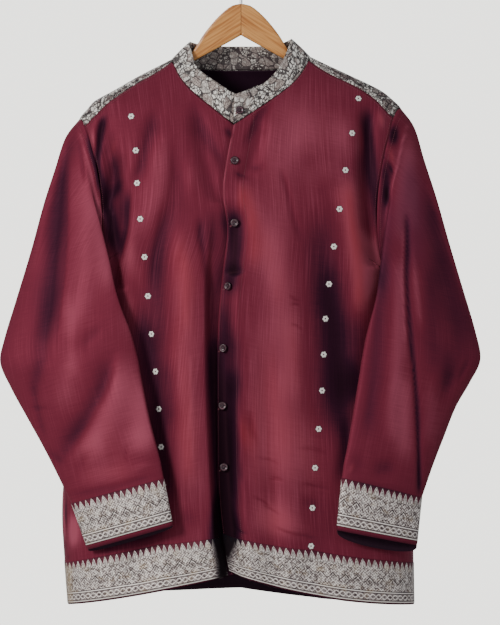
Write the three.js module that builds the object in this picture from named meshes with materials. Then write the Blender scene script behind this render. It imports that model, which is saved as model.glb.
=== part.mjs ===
// A long-sleeved silk shirt with a brocade stand collar and yoke and gold-and-silver
// border bands, hung by its shoulders on a wooden hanger.
// Millimetres, +Z up, front towards -Y. The origin is where the hook rests on its rail.
// "right" and "left" are the wearer's sides: the right side lies towards -X.

import * as THREE from 'three';

// Driving sizes
const clothWall = 1.2;
const facingWall = 1.0;
const facingGap = 0.5;
const facingSag = { depth: 1.6, reach: 94, width: 8, down: 16 };
const collarWall = 1.8;
const bandWall = 0.9;
const seamGap = 0.3;
const collarGap = 0.9;
const armholeGap = 0.9;
const yokeSeamGap = 0.9;
const backSeamGap = 0.7;
const sideSeamGap = 0.7;
const buttonSeat = 0.7;
const lapStep = 2.4;
const backNeckZ = -146;
const frontNeckZ = -223.7;
const frontNeckX = -10;
const neckHalfWidth = 96;
const collarLean = { front: 0.88, back: 0.45 };
const yokeSeamZ = -240;
const armpitZ = -430;
const hemZ = -887;
const hemBandHeight = 58;
const hemBandMargin = 2;
const underlapWidth = 30;
const buttonDiameter = 11.5;
const buttonThickness = 2.6;
const buttonInset = 11;
const buttonHeights = [-273.5, -359.5, -446.5, -532, -611.5, -696];
const hangerThickness = 12;
const hangerBevel = 3;
const hangerSeat = 5.4;
const hangerSeatStart = 118;
const hangerStep = 18;
const hangerSlope = 0.55;
const hangerTopZ = -55;
const hangerPeakZ = -99;
const hangerReach = 200;
const hookWire = 4;
const hookInnerRadius = 20;
const hookSweep = 290;

// The torso form: half widths to each side and depths to front and back, at each height.
const torsoSections = [
  { z: -84, right: 6, left: 6, front: 5, back: 8 },
  { z: -134, right: 100, left: 107, front: 18, back: 24 },
  { z: -155, right: 141, left: 152, front: 28, back: 38 },
  { z: -175, right: 176, left: 193, front: 37, back: 47 },
  { z: -190, right: 203, left: 212, front: 43, back: 52 },
  { z: -200, right: 212, left: 221.5, front: 47, back: 55 },
  { z: -215, right: 224, left: 225, front: 51, back: 57 },
  { z: -240, right: 226, left: 227, front: 58, back: 60 },
  { z: -330, right: 217, left: 218, front: 70, back: 64 },
  { z: -430, right: 210, left: 210, front: 77, back: 65 },
  { z: -500, right: 214, left: 213, front: 80, back: 64 },
  { z: -600, right: 230, left: 224, front: 82, back: 62 },
  { z: -700, right: 244, left: 234, front: 84, back: 61 },
  { z: -760, right: 248, left: 238, front: 85, back: 60 },
  { z: -820, right: 245, left: 239, front: 85, back: 60 },
  { z: -887, right: 240, left: 240, front: 85, back: 60 },
];
const torsoRoundness = 2.2;

// How each side differs.
const sides = {
  right: { sign: -1, shoulderZ: -215, frontInset: 24, backInset: 14, hemLift: 44, hemPower: 1.3 },
  left: { sign: 1, shoulderZ: -200, frontInset: 30, backInset: 14, hemLift: 36, hemPower: 2 },
};
const backHemLift = 21;
const backHemPower = 1.6;

// The front edge of the overlapping left front, from the neck to the hem.
const frontEdge = [
  { z: -223, x: -10 },
  { z: -268, x: -19 },
  { z: -315, x: -25 },
  { z: -369, x: -19 },
  { z: -425, x: -25 },
  { z: -507, x: -32 },
  { z: -700, x: -33 },
  { z: -790, x: -26 },
  { z: -845, x: -15 },
];

// The upright trough beside the front edge: where its steep wall stands and how deep it is.
const troughWall = [
  { z: -340, x: -42, depth: 0 },
  { z: -400, x: -48, depth: 6 },
  { z: -454, x: -51, depth: 13 },
  { z: -600, x: -49, depth: 17 },
  { z: -742, x: -42, depth: 17 },
  { z: -847, x: -33, depth: 15 },
];
const troughRise = 10;
const troughFloor = 24;
const troughReturn = 24;
const crestLift = 5;
const crestWidth = 38;

// The largest drape folds of the panels: from (x, z) to (endX, endZ), swung aside by bow.
const frontFolds = [
  { x: -190, z: -213, endX: -172, endZ: -450, bow: 6, width: 11, depth: 10 },
  { x: -166, z: -262, endX: -186, endZ: -345, bow: 0, width: 9, depth: 6 },
  { x: 178, z: -190, endX: 186, endZ: -420, bow: -9, width: 11, depth: 11 },
  { x: -62, z: -205, endX: -32, endZ: -330, bow: -4, width: 12, depth: 5 },
  { x: 30, z: -212, endX: 4, endZ: -300, bow: 3, width: 11, depth: 5 },
  { x: -132, z: -330, endX: -140, endZ: -860, bow: 5, width: 26, depth: 6 },
  { x: 92, z: -420, endX: 104, endZ: -880, bow: 6, width: 30, depth: 6 },
  { x: 30, z: -500, endX: 46, endZ: -880, bow: 4, width: 16, depth: 5 },
];
const backFolds = [
  { x: -150, z: -260, endX: -168, endZ: -880, bow: -6, width: 26, depth: 8 },
  { x: -62, z: -300, endX: -78, endZ: -880, bow: 6, width: 24, depth: 9 },
  { x: 24, z: -380, endX: 12, endZ: -880, bow: -5, width: 22, depth: 7 },
  { x: 104, z: -280, endX: 118, endZ: -880, bow: 6, width: 26, depth: 9 },
  { x: 172, z: -300, endX: 176, endZ: -860, bow: -4, width: 20, depth: 7 },
];

// Depth of the yoke in front, measured down from the shoulder line.
const yokeFrontDrop = [
  { x: 96, right: 4, left: 7 },
  { x: 120, right: 8, left: 11 },
  { x: 160, right: 10, left: 12 },
  { x: 185, right: 14, left: 17 },
  { x: 205, right: 22, left: 25 },
  { x: 226, right: 16, left: 18 },
];

// The sleeves, ring by ring from the armhole to the cuff. outer is the line from the
// shoulder over the elbow, under is the line of the underarm seam; front and back are how
// far the cloth stands out from the chord between them, frontX how far the front swings in.
const sleeveRings = {
  right: [
    { outerX: 243, outerZ: -240, outerY: -3, underX: 218, underZ: -442, underY: -10, front: 30, frontX: 30, back: 44 },
    { outerX: 258, outerZ: -285, outerY: -8, underX: 208, underZ: -446, underY: -32, front: 26, frontX: 40, back: 46 },
    { outerX: 273, outerZ: -332, outerY: -13, underX: 196, underZ: -453, underY: -52, front: 22, frontX: 42, back: 46 },
    { outerX: 290, outerZ: -395, outerY: -18, underX: 176, underZ: -471, underY: -66, front: 20, frontX: 30, back: 42 },
    { outerX: 311, outerZ: -465, outerY: -23, underX: 155, underZ: -504, underY: -75, front: 19, frontX: 12, back: 34 },
    { outerX: 328, outerZ: -522, outerY: -27, underX: 142.5, underZ: -543, underY: -80, front: 18, frontX: 0, back: 27 },
    { outerX: 333, outerZ: -552, outerY: -30, underX: 138, underZ: -567, underY: -84, front: 18, frontX: 0, back: 25 },
    { outerX: 318, outerZ: -587, outerY: -34, underX: 133, underZ: -592, underY: -88, front: 17, frontX: 0, back: 23 },
    { outerX: 296, outerZ: -627, outerY: -40, underX: 126, underZ: -626, underY: -92, front: 16, frontX: 0, back: 20 },
    { outerX: 272, outerZ: -670, outerY: -47, underX: 117, underZ: -662, underY: -96, front: 15, frontX: 0, back: 17 },
    { outerX: 252, outerZ: -709, outerY: -53, underX: 110, underZ: -690, underY: -99, front: 14, frontX: 0, back: 15 },
    { outerX: 234, outerZ: -746, outerY: -58, underX: 106, underZ: -711, underY: -101, front: 14, frontX: 0, back: 14 },
    { outerX: 213, outerZ: -804, outerY: -62, underX: 94.5, underZ: -770, underY: -103, front: 14, frontX: 0, back: 13 },
    { outerX: 211, outerZ: -810, outerY: -62, underX: 93, underZ: -776, underY: -103, front: 14, frontX: 0, back: 13 },
  ],
  left: [
    { outerX: 240, outerZ: -226, outerY: -3, underX: 218, underZ: -442, underY: -10, front: 30, frontX: 26, back: 44 },
    { outerX: 254, outerZ: -272, outerY: -8, underX: 209, underZ: -447, underY: -32, front: 26, frontX: 30, back: 46 },
    { outerX: 271, outerZ: -325, outerY: -13, underX: 199, underZ: -456, underY: -50, front: 22, frontX: 28, back: 46 },
    { outerX: 287, outerZ: -382, outerY: -18, underX: 186, underZ: -476, underY: -62, front: 20, frontX: 16, back: 42 },
    { outerX: 307, outerZ: -450, outerY: -23, underX: 174, underZ: -509, underY: -69, front: 19, frontX: 6, back: 34 },
    { outerX: 325, outerZ: -512, outerY: -27, underX: 166.5, underZ: -545, underY: -74, front: 18, frontX: 0, back: 27 },
    { outerX: 331, outerZ: -548, outerY: -30, underX: 163, underZ: -568, underY: -78, front: 18, frontX: 0, back: 25 },
    { outerX: 316, outerZ: -580, outerY: -34, underX: 158, underZ: -598, underY: -82, front: 17, frontX: 0, back: 23 },
    { outerX: 297, outerZ: -613, outerY: -40, underX: 152, underZ: -634, underY: -86, front: 16, frontX: 0, back: 20 },
    { outerX: 280, outerZ: -655, outerY: -47, underX: 146, underZ: -668, underY: -90, front: 15, frontX: 0, back: 17 },
    { outerX: 263, outerZ: -702, outerY: -53, underX: 141, underZ: -695, underY: -93, front: 14, frontX: 0, back: 15 },
    { outerX: 249.5, outerZ: -742, outerY: -58, underX: 138.5, underZ: -714, underY: -95, front: 14, frontX: 0, back: 14 },
    { outerX: 243, outerZ: -802, outerY: -62, underX: 132, underZ: -780, underY: -97, front: 14, frontX: 0, back: 13 },
    { outerX: 242.5, outerZ: -808, outerY: -62, underX: 131.3, underZ: -786, underY: -97, front: 14, frontX: 0, back: 13 },
  ],
};
const sleeveClearance = 4;
const cuffBandRings = 3;

// The arch of the hanger above the neck.
const hangerArch = [
  { x: 0, z: -55 },
  { x: 14, z: -58.5 },
  { x: 30.4, z: -72 },
  { x: 44.2, z: -87.5 },
  { x: 55.2, z: -102.5 },
  { x: 64, z: -117 },
  { x: 78, z: -131 },
  { x: 90, z: -138.8 },
  { x: 102, z: -143 },
];

// How finely the cloth is faceted.
const armholeSteps = { yokeFront: 3, front: 7, back: 6, yokeBack: 4 };
const yokeCrowding = 1.5;
const sideRows = 8;
const lapColumns = [0, 10, 20, 30];
const rightFoldColumns = [-9, -18, -30, -46];
const neckReaches = { right: [75, 87, 93.5, 96], left: [38, 56, 75, 87, 93.5, 96] };
const sideShares = [0.17, 0.35, 0.52, 0.68, 0.82, 0.93, 1];
const backColumns = 18;
const yokeNeckReaches = [91, 83, 72, 57, 39, 20];
const yokeNeckShare = { corner: 0.12, middle: 0.32 };
const collarSteps = 40;

// Plain interpolation in the tables
const mix = (a, b, t) => a + (b - a) * t;
const clamp = (value, low, high) => Math.min(high, Math.max(low, value));
const smoothStep = (t) => clamp(t, 0, 1) ** 2 * (3 - 2 * clamp(t, 0, 1));

function readTable(table, key, column, at) {
  // Smooth interpolation of one column; the rows run downwards or upwards in the key.
  const down = table[0][key] > table[table.length - 1][key];
  const rows = down ? [...table].reverse() : table;
  if (at <= rows[0][key]) return rows[0][column];
  const last = rows.length - 1;
  if (at >= rows[last][key]) return rows[last][column];
  const i = rows.findIndex((row) => row[key] >= at) - 1;
  const before = rows[Math.max(i - 1, 0)];
  const from = rows[i];
  const to = rows[i + 1];
  const after = rows[Math.min(i + 2, last)];
  const span = to[key] - from[key];
  const slopeFrom = (to[column] - before[column]) / (to[key] - before[key]);
  const slopeTo = (after[column] - from[column]) / (after[key] - from[key]);
  const t = (at - from[key]) / span;
  const t2 = t * t;
  const t3 = t2 * t;
  return (2 * t3 - 3 * t2 + 1) * from[column] + (t3 - 2 * t2 + t) * span * slopeFrom
    + (3 * t2 - 2 * t3) * to[column] + (t3 - t2) * span * slopeTo;
}

const sideName = (x) => (x < 0 ? 'right' : 'left');
const halfWidth = (side, z) => readTable(torsoSections, 'z', side, z);

function shoulderLine(side, reach) {
  // Height of the shoulder line at a distance from the middle.
  let high = -84;
  let low = sides[side].shoulderZ;
  for (let i = 0; i < 40; i += 1) {
    const middle = (high + low) / 2;
    if (halfWidth(side, middle) < reach) high = middle;
    else low = middle;
  }
  return (high + low) / 2;
}

function foldDepth(folds, x, z) {
  let sum = 0;
  for (const fold of folds) {
    const along = (z - fold.z) / (fold.endZ - fold.z);
    if (along <= 0 || along >= 1) continue;
    const centre = mix(fold.x, fold.endX, along) + fold.bow * Math.sin(Math.PI * along);
    const across = (x - centre) / fold.width;
    const strength = smoothStep(along / 0.25) * smoothStep((1 - along) / 0.2 + 0.45);
    sum += fold.depth * strength * Math.exp(-across * across);
  }
  return sum;
}

function troughDepth(x, z) {
  if (z > troughWall[0].z) return 0;
  const wallX = readTable(troughWall, 'z', 'x', z);
  const depth = readTable(troughWall, 'z', 'depth', z);
  const beyond = x - wallX;
  const rise = smoothStep(beyond / troughRise);
  const fall = 1 - smoothStep((beyond - troughFloor) / troughReturn);
  const crest = Math.exp(-(((beyond + 10) / crestWidth) ** 2)) * crestLift * (depth / 17);
  return depth * rise * fall - (beyond < 0 ? crest : crest * (1 - rise));
}

function torsoDepth(face, x, z) {
  // Y of the cloth at a place seen from the front; folds fade out at the side seam.
  const side = sideName(x);
  const reach = clamp(Math.abs(x) / halfWidth(side, z), 0, 1);
  const roundness = (1 - reach ** torsoRoundness) ** (1 / torsoRoundness);
  if (face === 'front') {
    const folds = foldDepth(frontFolds, x, z) + troughDepth(x, z);
    return -readTable(torsoSections, 'z', 'front', z) * roundness + folds * Math.min(1, roundness * 2.5);
  }
  const folds = foldDepth(backFolds, x, z);
  return readTable(torsoSections, 'z', 'back', z) * roundness - folds * Math.min(1, roundness * 2.5);
}

const onTorso = (face, x, z) => new THREE.Vector3(x, torsoDepth(face, x, z), z);

function hemHeight(face, x) {
  const side = sides[sideName(x)];
  const inward = 1 - clamp(Math.abs(x) / 243, 0, 1);
  if (face === 'back') return hemZ + backHemLift * inward ** backHemPower;
  return hemZ + side.hemLift * inward ** side.hemPower;
}

// The armhole: 0 degrees at the shoulder, 90 in front, 180 at the armpit, 270 at the back.
function armholePoint(sideKey, degrees) {
  const side = sides[sideKey];
  const turn = THREE.MathUtils.degToRad(degrees);
  const z = mix(side.shoulderZ, armpitZ, (1 - Math.cos(turn)) / 2);
  const front = degrees <= 180;
  const inset = (front ? side.frontInset : side.backInset) * Math.abs(Math.sin(turn));
  const x = side.sign * (halfWidth(sideKey, z) - inset);
  return onTorso(front ? 'front' : 'back', x, z);
}

function armholeDegreesAt(sideKey, front, test) {
  // Finds where the armhole crosses a seam: test tells whether a point is past it.
  let near = 0;
  let far = 180;
  for (let i = 0; i < 40; i += 1) {
    const middle = (near + far) / 2;
    if (test(armholePoint(sideKey, front ? middle : 360 - middle))) far = middle;
    else near = middle;
  }
  return (near + far) / 2;
}

function yokeFrontZ(sideKey, reach) {
  return shoulderLine(sideKey, reach) - readTable(yokeFrontDrop, 'x', sideKey, reach);
}

function armholeStations(sideKey) {
  const frontSeam = armholeDegreesAt(sideKey, true, (p) => p.z < yokeFrontZ(sideKey, Math.min(Math.abs(p.x), 222)));
  const backSeam = armholeDegreesAt(sideKey, false, (p) => p.z < yokeSeamZ);
  const steps = armholeSteps;
  const spread = (from, to, count) => Array.from({ length: count + 1 }, (_, i) => mix(from, to, i / count));
  const crowded = (count) => Array.from({ length: count + 1 }, (_, i) => (i / count) ** yokeCrowding);
  return {
    front: spread(frontSeam, 180, steps.front),
    back: spread(360 - backSeam, 180, steps.back),
    yokeFront: crowded(steps.yokeFront).reverse().map((share) => frontSeam * share),
    yokeBack: crowded(steps.yokeBack).map((share) => 360 - backSeam * share),
  };
}

const stations = { right: armholeStations('right'), left: armholeStations('left') };

// The neck seam and the collar's upper edge: 0 degrees at the back, 180 at the front.
function neckRing(degrees, ring) {
  const turn = THREE.MathUtils.degToRad(degrees);
  const sideKey = Math.sin(turn) < 0 ? 'right' : 'left';
  const share = Math.abs(Math.sin(turn));
  const sign = sides[sideKey].sign;
  const sideZ = ring.sideZ[sideKey];
  const front = Math.cos(turn) < 0;
  const x = front ? mix(ring.frontX, sign * ring.reach[sideKey], share) : sign * ring.reach[sideKey] * share;
  const rise = front
    ? ring.linear[sideKey] * share + (1 - ring.linear[sideKey]) * share ** ring.power[sideKey]
    : share ** 4;
  const z = mix(front ? ring.frontZ : ring.backZ, sideZ, rise);
  return { x, z, front };
}

const neckSeam = {
  frontX: frontNeckX,
  frontZ: frontNeckZ,
  backZ: backNeckZ,
  reach: { right: neckHalfWidth, left: neckHalfWidth },
  sideZ: { right: shoulderLine('right', neckHalfWidth), left: shoulderLine('left', neckHalfWidth) },
  linear: { right: 0.75, left: 0.75 },
  power: { right: 8, left: 8 },
};
const collarEdge = {
  frontX: -9,
  frontZ: -181.5,
  backZ: -114,
  reach: { right: 71, left: 70 },
  sideZ: { right: -107.5, left: -103.5 },
  linear: { right: 0.57, left: 0.3 },
  power: { right: 12, left: 4 },
};

function neckPoint(degrees) {
  const { x, z, front } = neckRing(degrees, neckSeam);
  return onTorso(front ? 'front' : 'back', x, z);
}

function frontNeckHeight(x) {
  const side = sideName(x - frontNeckX);
  const share = clamp(Math.abs(x - frontNeckX) / Math.abs(sides[side].sign * neckHalfWidth - frontNeckX), 0, 1);
  const rise = neckSeam.linear[side] * share + (1 - neckSeam.linear[side]) * share ** neckSeam.power[side];
  return mix(frontNeckZ, neckSeam.sideZ[side], rise);
}

function backNeckHeight(x) {
  const share = clamp(Math.abs(x) / neckHalfWidth, 0, 1);
  return mix(backNeckZ, neckSeam.sideZ[sideName(x)], share ** 4);
}

// Walls: a grid of points gets a second skin along its normals, and its rims are closed.
const onSideSeam = (point) => Math.abs(point.y) < sideSeamGap && point.z < armpitZ + 1 && Math.abs(point.x) > 150;

function gridNormals(grid, around) {
  // Each point gets the mean of the normals of the facets round it, square to the side seams.
  const rows = grid.length;
  const columns = grid[0].length;
  const facetNormal = (i, j) => {
    if (i < 0 || i >= rows - 1 || (!around && (j < 0 || j >= columns - 1))) return new THREE.Vector3();
    const [near, far] = [(j + columns) % columns, (j + 1) % columns];
    const down = grid[i + 1][far].clone().sub(grid[i][near]);
    const across = grid[i][far].clone().sub(grid[i + 1][near]);
    return down.cross(across).normalize();
  };
  return grid.map((row, i) => row.map((point, j) => {
    const normal = facetNormal(i, j).add(facetNormal(i - 1, j)).add(facetNormal(i, j - 1)).add(facetNormal(i - 1, j - 1));
    if (!around && onSideSeam(point)) normal.y = 0;
    return normal.normalize();
  }));
}

function offsetGrid(grid, normals, distance) {
  return grid.map((row, i) => row.map((point, j) => point.clone().addScaledVector(normals[i][j], distance)));
}

function wallGeometry(grid, outer, inner, around) {
  // Both skins split their facets along the grid's shorter diagonals.
  const rows = outer.length;
  const columns = outer[0].length;
  const points = [...outer.flat(), ...inner.flat()];
  const guide = grid.flat();
  const innerStart = rows * columns;
  const triangles = [];
  const outerAt = (i, j) => i * columns + (j % columns);
  const innerAt = (i, j) => innerStart + i * columns + (j % columns);
  const isShorter = (a, b, c, d, from) => from[a].distanceToSquared(from[c]) <= from[b].distanceToSquared(from[d]);
  const addQuad = (a, b, c, d, straight = isShorter(a, b, c, d, points)) => {
    if (straight) triangles.push(a, b, c, a, c, d);
    else triangles.push(a, b, d, b, c, d);
  };
  const lastColumn = around ? columns : columns - 1;
  for (let i = 0; i < rows - 1; i += 1) {
    for (let j = 0; j < lastColumn; j += 1) {
      const straight = isShorter(outerAt(i, j), outerAt(i + 1, j), outerAt(i + 1, j + 1), outerAt(i, j + 1), guide);
      addQuad(outerAt(i, j), outerAt(i + 1, j), outerAt(i + 1, j + 1), outerAt(i, j + 1), straight);
      addQuad(innerAt(i, j), innerAt(i, j + 1), innerAt(i + 1, j + 1), innerAt(i + 1, j), straight);
    }
  }
  for (let j = 0; j < lastColumn; j += 1) {
    addQuad(outerAt(0, j), outerAt(0, j + 1), innerAt(0, j + 1), innerAt(0, j));
    addQuad(outerAt(rows - 1, j), innerAt(rows - 1, j), innerAt(rows - 1, j + 1), outerAt(rows - 1, j + 1));
  }
  if (!around) {
    for (let i = 0; i < rows - 1; i += 1) {
      addQuad(outerAt(i, 0), innerAt(i, 0), innerAt(i + 1, 0), outerAt(i + 1, 0));
      const j = columns - 1;
      addQuad(outerAt(i, j), outerAt(i + 1, j), innerAt(i + 1, j), innerAt(i, j));
    }
  }
  const geometry = new THREE.BufferGeometry();
  const positions = points.flatMap((p) => [p.x, p.y, p.z]);
  geometry.setAttribute('position', new THREE.Float32BufferAttribute(positions, 3));
  geometry.setIndex(triangles);
  geometry.computeVertexNormals();
  return geometry;
}

function clothWallGeometry(grid, wall, lift = 0, around = false) {
  // The grid is the outside of the cloth; lift moves the whole piece off it.
  const normals = gridNormals(grid, around);
  return wallGeometry(grid, offsetGrid(grid, normals, lift), offsetGrid(grid, normals, lift - wall), around);
}

// Materials
const finish = (colour, roughness, metalness = 0) => new THREE.MeshStandardMaterial({
  color: colour, roughness, metalness, side: THREE.DoubleSide,
});
const silk = () => finish(0x7a2a38, 0.5);
const darkSilk = () => finish(0x2a1428, 0.7);
const brocade = () => finish(0xb9afaa, 0.55, 0.1);
const buttonShell = () => finish(0x3a1a26, 0.3);
const wood = () => finish(0xc98a4b, 0.5);
const steel = () => finish(0xb8babd, 0.3, 1);

const shirt = new THREE.Group();

function addPiece(name, geometry, material, parent = shirt) {
  const mesh = new THREE.Mesh(geometry, material);
  mesh.name = name;
  parent.add(mesh);
  return mesh;
}

// Front panels. Rows run from the neck and yoke seam to the hem, columns from the front
// edge to the armhole and side seam. Both fronts share their rows where they lap.
const bandRows = [hemZ + hemBandHeight, hemZ + hemBandHeight / 2, hemZ + hemBandMargin, hemZ];

function sideEnds(sideKey, armholeDegrees) {
  const ends = armholeDegrees.map((degrees) => armholePoint(sideKey, degrees));
  const heights = Array.from({ length: sideRows - 1 }, (_, i) => mix(armpitZ, bandRows[0], (i + 1) / sideRows));
  for (const z of [...heights, ...bandRows]) {
    ends.push(new THREE.Vector3(sides[sideKey].sign * halfWidth(sideKey, z), 0, z));
  }
  return ends;
}

const frontEnds = {
  right: sideEnds('right', stations.right.front),
  left: sideEnds('left', stations.left.front),
};
const wayDown = (ends, i) => (ends[i].z - ends[0].z) / (hemZ - ends[0].z);
const frontEdgeX = (z) => readTable(frontEdge, 'z', 'x', z);

function frontPoint(sideKey, i, offset, share) {
  // offset is measured from the front edge; share runs from there to the side.
  const ends = frontEnds[sideKey];
  const { sign } = sides[sideKey];
  const lapDown = (wayDown(frontEnds.right, i) + wayDown(frontEnds.left, i)) / 2;
  const down = mix(lapDown, wayDown(ends, i), share);
  const topX = mix(frontNeckX + offset, ends[0].x, share);
  const bottomX = mix(frontEdgeX(hemZ) + offset, sign * halfWidth(sideKey, hemZ), share);
  const onNeck = Math.abs(topX) < neckHalfWidth;
  const topZ = onNeck ? frontNeckHeight(topX) : yokeFrontZ(sideKey, Math.abs(topX));
  const z = mix(topZ - yokeSeamGap, hemHeight('front', bottomX), down);
  const x = mix(frontEdgeX(z) + offset, ends[i].x, share);
  const point = onTorso('front', x, z);
  point.y = Math.min(point.y, -sideSeamGap / 2);
  return point;
}

function columnShares(sideKey, startOffset) {
  // Columns end on the neck seam at named reaches, then spread from its corner to the side.
  const start = frontNeckX + startOffset;
  const end = frontEnds[sideKey][0].x;
  const onNeck = neckReaches[sideKey].map((reach) => (sides[sideKey].sign * reach - start) / (end - start));
  const corner = onNeck[onNeck.length - 1];
  return [...onNeck, ...sideShares.map((share) => mix(corner, 1, share))];
}

function leftFrontGrid() {
  const shares = columnShares('left', underlapWidth);
  return frontEnds.left.map((_, i) => [
    ...lapColumns.map((offset) => frontPoint('left', i, offset, 0)),
    ...shares.map((share) => frontPoint('left', i, underlapWidth, share)),
  ]);
}

function rightFrontGrid() {
  // The right front passes behind the left one where they lap.
  const lastFold = rightFoldColumns[rightFoldColumns.length - 1];
  const shares = columnShares('right', lastFold);
  return frontEnds.right.map((_, i) => {
    const behind = lapColumns.map((offset) => frontPoint('right', i, offset, 0));
    for (const point of behind) point.y += lapStep;
    const folds = rightFoldColumns.map((offset) => frontPoint('right', i, offset, 0));
    return [...behind.reverse(), ...folds, ...shares.map((share) => frontPoint('right', i, lastFold, share))];
  });
}

const flipRows = (grid) => grid.map((row) => [...row].reverse());
const leftFront = leftFrontGrid();
const rightFront = flipRows(rightFrontGrid());
addPiece('front_left', clothWallGeometry(leftFront, clothWall), silk());
addPiece('front_right', clothWallGeometry(rightFront, clothWall), silk());

// Back panel, from the yoke seam down.
function backGrid() {
  const ends = { right: sideEnds('right', stations.right.back), left: sideEnds('left', stations.left.back) };
  return ends.right.map((right, i) => Array.from({ length: backColumns + 1 }, (_, j) => {
    const swing = (j / backColumns - 0.5) * Math.PI * 0.86;
    const share = (Math.sin(swing) / Math.sin(Math.PI * 0.43) + 1) / 2;
    const down = mix(wayDown(ends.right, i), wayDown(ends.left, i), share);
    const bottomX = mix(-halfWidth('right', hemZ), halfWidth('left', hemZ), share);
    const z = mix(yokeSeamZ - backSeamGap, hemHeight('back', bottomX), down);
    const point = onTorso('back', mix(right.x, ends.left[i].x, share), z);
    point.y = Math.max(point.y, sideSeamGap / 2);
    return point;
  }));
}

const backPanel = flipRows(backGrid());
addPiece('back', clothWallGeometry(backPanel, clothWall), silk());

// Border bands lie on the panels, along the hem.
const hemBand = (panel) => clothWallGeometry(panel.slice(-4, -1), bandWall, seamGap + bandWall);
const rightBandPanel = rightFront.map((row) => row.slice(0, -lapColumns.length));
addPiece('hem_band_front_left', hemBand(leftFront), brocade());
addPiece('hem_band_front_right', hemBand(rightBandPanel), brocade());
addPiece('hem_band_back', hemBand(backPanel), brocade());

// Yoke: over both shoulders and across the upper back. In each column q is the signed root
// of the drop from the shoulder line: negative in front of it and positive behind it.
const rootDrop = (sideKey, reach, z) => Math.sqrt(Math.max(0, shoulderLine(sideKey, reach) - z));

function yokeEnd(sideKey, i) {
  // Where row i meets the armhole, and its share of the way to the ridge or to the back seam.
  const { yokeFront, yokeBack } = stations[sideKey];
  const inFront = i < armholeSteps.yokeFront;
  const degrees = inFront ? yokeFront[i] : yokeBack[i - armholeSteps.yokeFront];
  const at = armholePoint(sideKey, degrees % 360);
  const limit = armholePoint(sideKey, inFront ? yokeFront[0] : yokeBack[armholeSteps.yokeBack]);
  const share = rootDrop(sideKey, Math.abs(at.x), at.z) / rootDrop(sideKey, Math.abs(limit.x), limit.z);
  return { x: at.x, inFront, share };
}

function yokePointBesideNeck(sideKey, end, share) {
  const x = mix(sides[sideKey].sign * neckHalfWidth, end.x, share);
  const reach = Math.abs(x);
  const seam = end.inFront ? yokeFrontZ(sideKey, reach) : yokeSeamZ;
  const q = rootDrop(sideKey, reach, seam) * end.share;
  return onTorso(end.inFront ? 'front' : 'back', x, shoulderLine(sideKey, reach) - q * q);
}

function yokePointBehindNeck(sideKey, end, reach) {
  const x = sides[sideKey].sign * reach;
  const turn = mix(yokeNeckShare.middle, yokeNeckShare.corner, reach / neckHalfWidth);
  const down = end.inFront ? turn * (1 - end.share) : mix(turn, 1, end.share);
  const q = mix(rootDrop(sideKey, reach, backNeckHeight(x)), rootDrop(sideKey, reach, yokeSeamZ), down);
  return onTorso('back', x, shoulderLine(sideKey, reach) - q * q);
}

function yokeGrid() {
  const rows = armholeSteps.yokeFront + armholeSteps.yokeBack + 1;
  return Array.from({ length: rows }, (_, i) => {
    const half = (sideKey) => {
      const end = yokeEnd(sideKey, i);
      const beside = [0, ...sideShares].reverse().map((share) => yokePointBesideNeck(sideKey, end, share));
      return [...beside, ...yokeNeckReaches.map((reach) => yokePointBehindNeck(sideKey, end, reach))];
    };
    const middle = yokePointBehindNeck('left', yokeEnd('left', i), 0);
    return [...half('right'), middle, ...half('left').reverse()];
  });
}

const yokeSurface = flipRows(yokeGrid());
addPiece('yoke', clothWallGeometry(yokeSurface, clothWall), brocade());

// Its facing sags clear of it at the sharp bends beside the neck.
const facingSurface = yokeSurface.map((row) => row.map((point) => {
  const aside = (Math.abs(point.x) - facingSag.reach) / facingSag.width;
  const below = (shoulderLine(sideName(point.x), Math.abs(point.x)) - point.z) / facingSag.down;
  const sag = facingSag.depth * Math.exp(-aside * aside - below * below);
  return new THREE.Vector3(point.x, point.y, point.z - sag);
}));
addPiece('yoke_facing', clothWallGeometry(facingSurface, facingWall, -clothWall - facingGap), darkSilk());

// Sleeves
function sleeveRing(sideKey, ring, degrees) {
  const { sign } = sides[sideKey];
  const outer = new THREE.Vector3(sign * ring.outerX, ring.outerY, ring.outerZ);
  const under = new THREE.Vector3(sign * ring.underX, ring.underY, ring.underZ);
  const turn = THREE.MathUtils.degToRad(degrees);
  const point = under.clone().lerp(outer, (1 + Math.cos(turn)) / 2);
  const out = Math.sin(turn);
  if (out > 0) {
    point.y -= ring.front * out;
    point.x -= sign * ring.frontX * out;
  } else {
    point.y -= ring.back * out;
  }
  return clearOfTorso(sideKey, point);
}

function clearOfTorso(sideKey, point) {
  // Where the sleeve hangs before the body it keeps clear of the front.
  const reach = Math.abs(point.x) / halfWidth(sideKey, point.z);
  if (reach >= 1.04 || point.z > armpitZ + 12) return point;
  const limit = torsoDepth('front', point.x, point.z) - sleeveClearance;
  point.y = Math.min(point.y, limit);
  return point;
}

function sleeveGrid(sideKey) {
  const turns = [
    ...stations[sideKey].yokeBack.slice().reverse().map((d) => d - 360),
    ...stations[sideKey].yokeFront.slice(0, -1).reverse(),
    ...stations[sideKey].front.slice(1),
    ...stations[sideKey].back.slice().reverse().slice(1, -1),
  ];
  const first = sleeveRings[sideKey][0];
  const armhole = turns.map((d) => {
    const seam = armholePoint(sideKey, (d + 360) % 360);
    const next = sleeveRing(sideKey, first, d);
    return seam.addScaledVector(next.sub(seam).normalize(), armholeGap);
  });
  const rings = sleeveRings[sideKey].map((ring) => turns.map((d) => sleeveRing(sideKey, ring, d)));
  const grid = [armhole, ...rings];
  return sideKey === 'left' ? grid.map((row) => [...row].reverse()) : grid;
}

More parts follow.
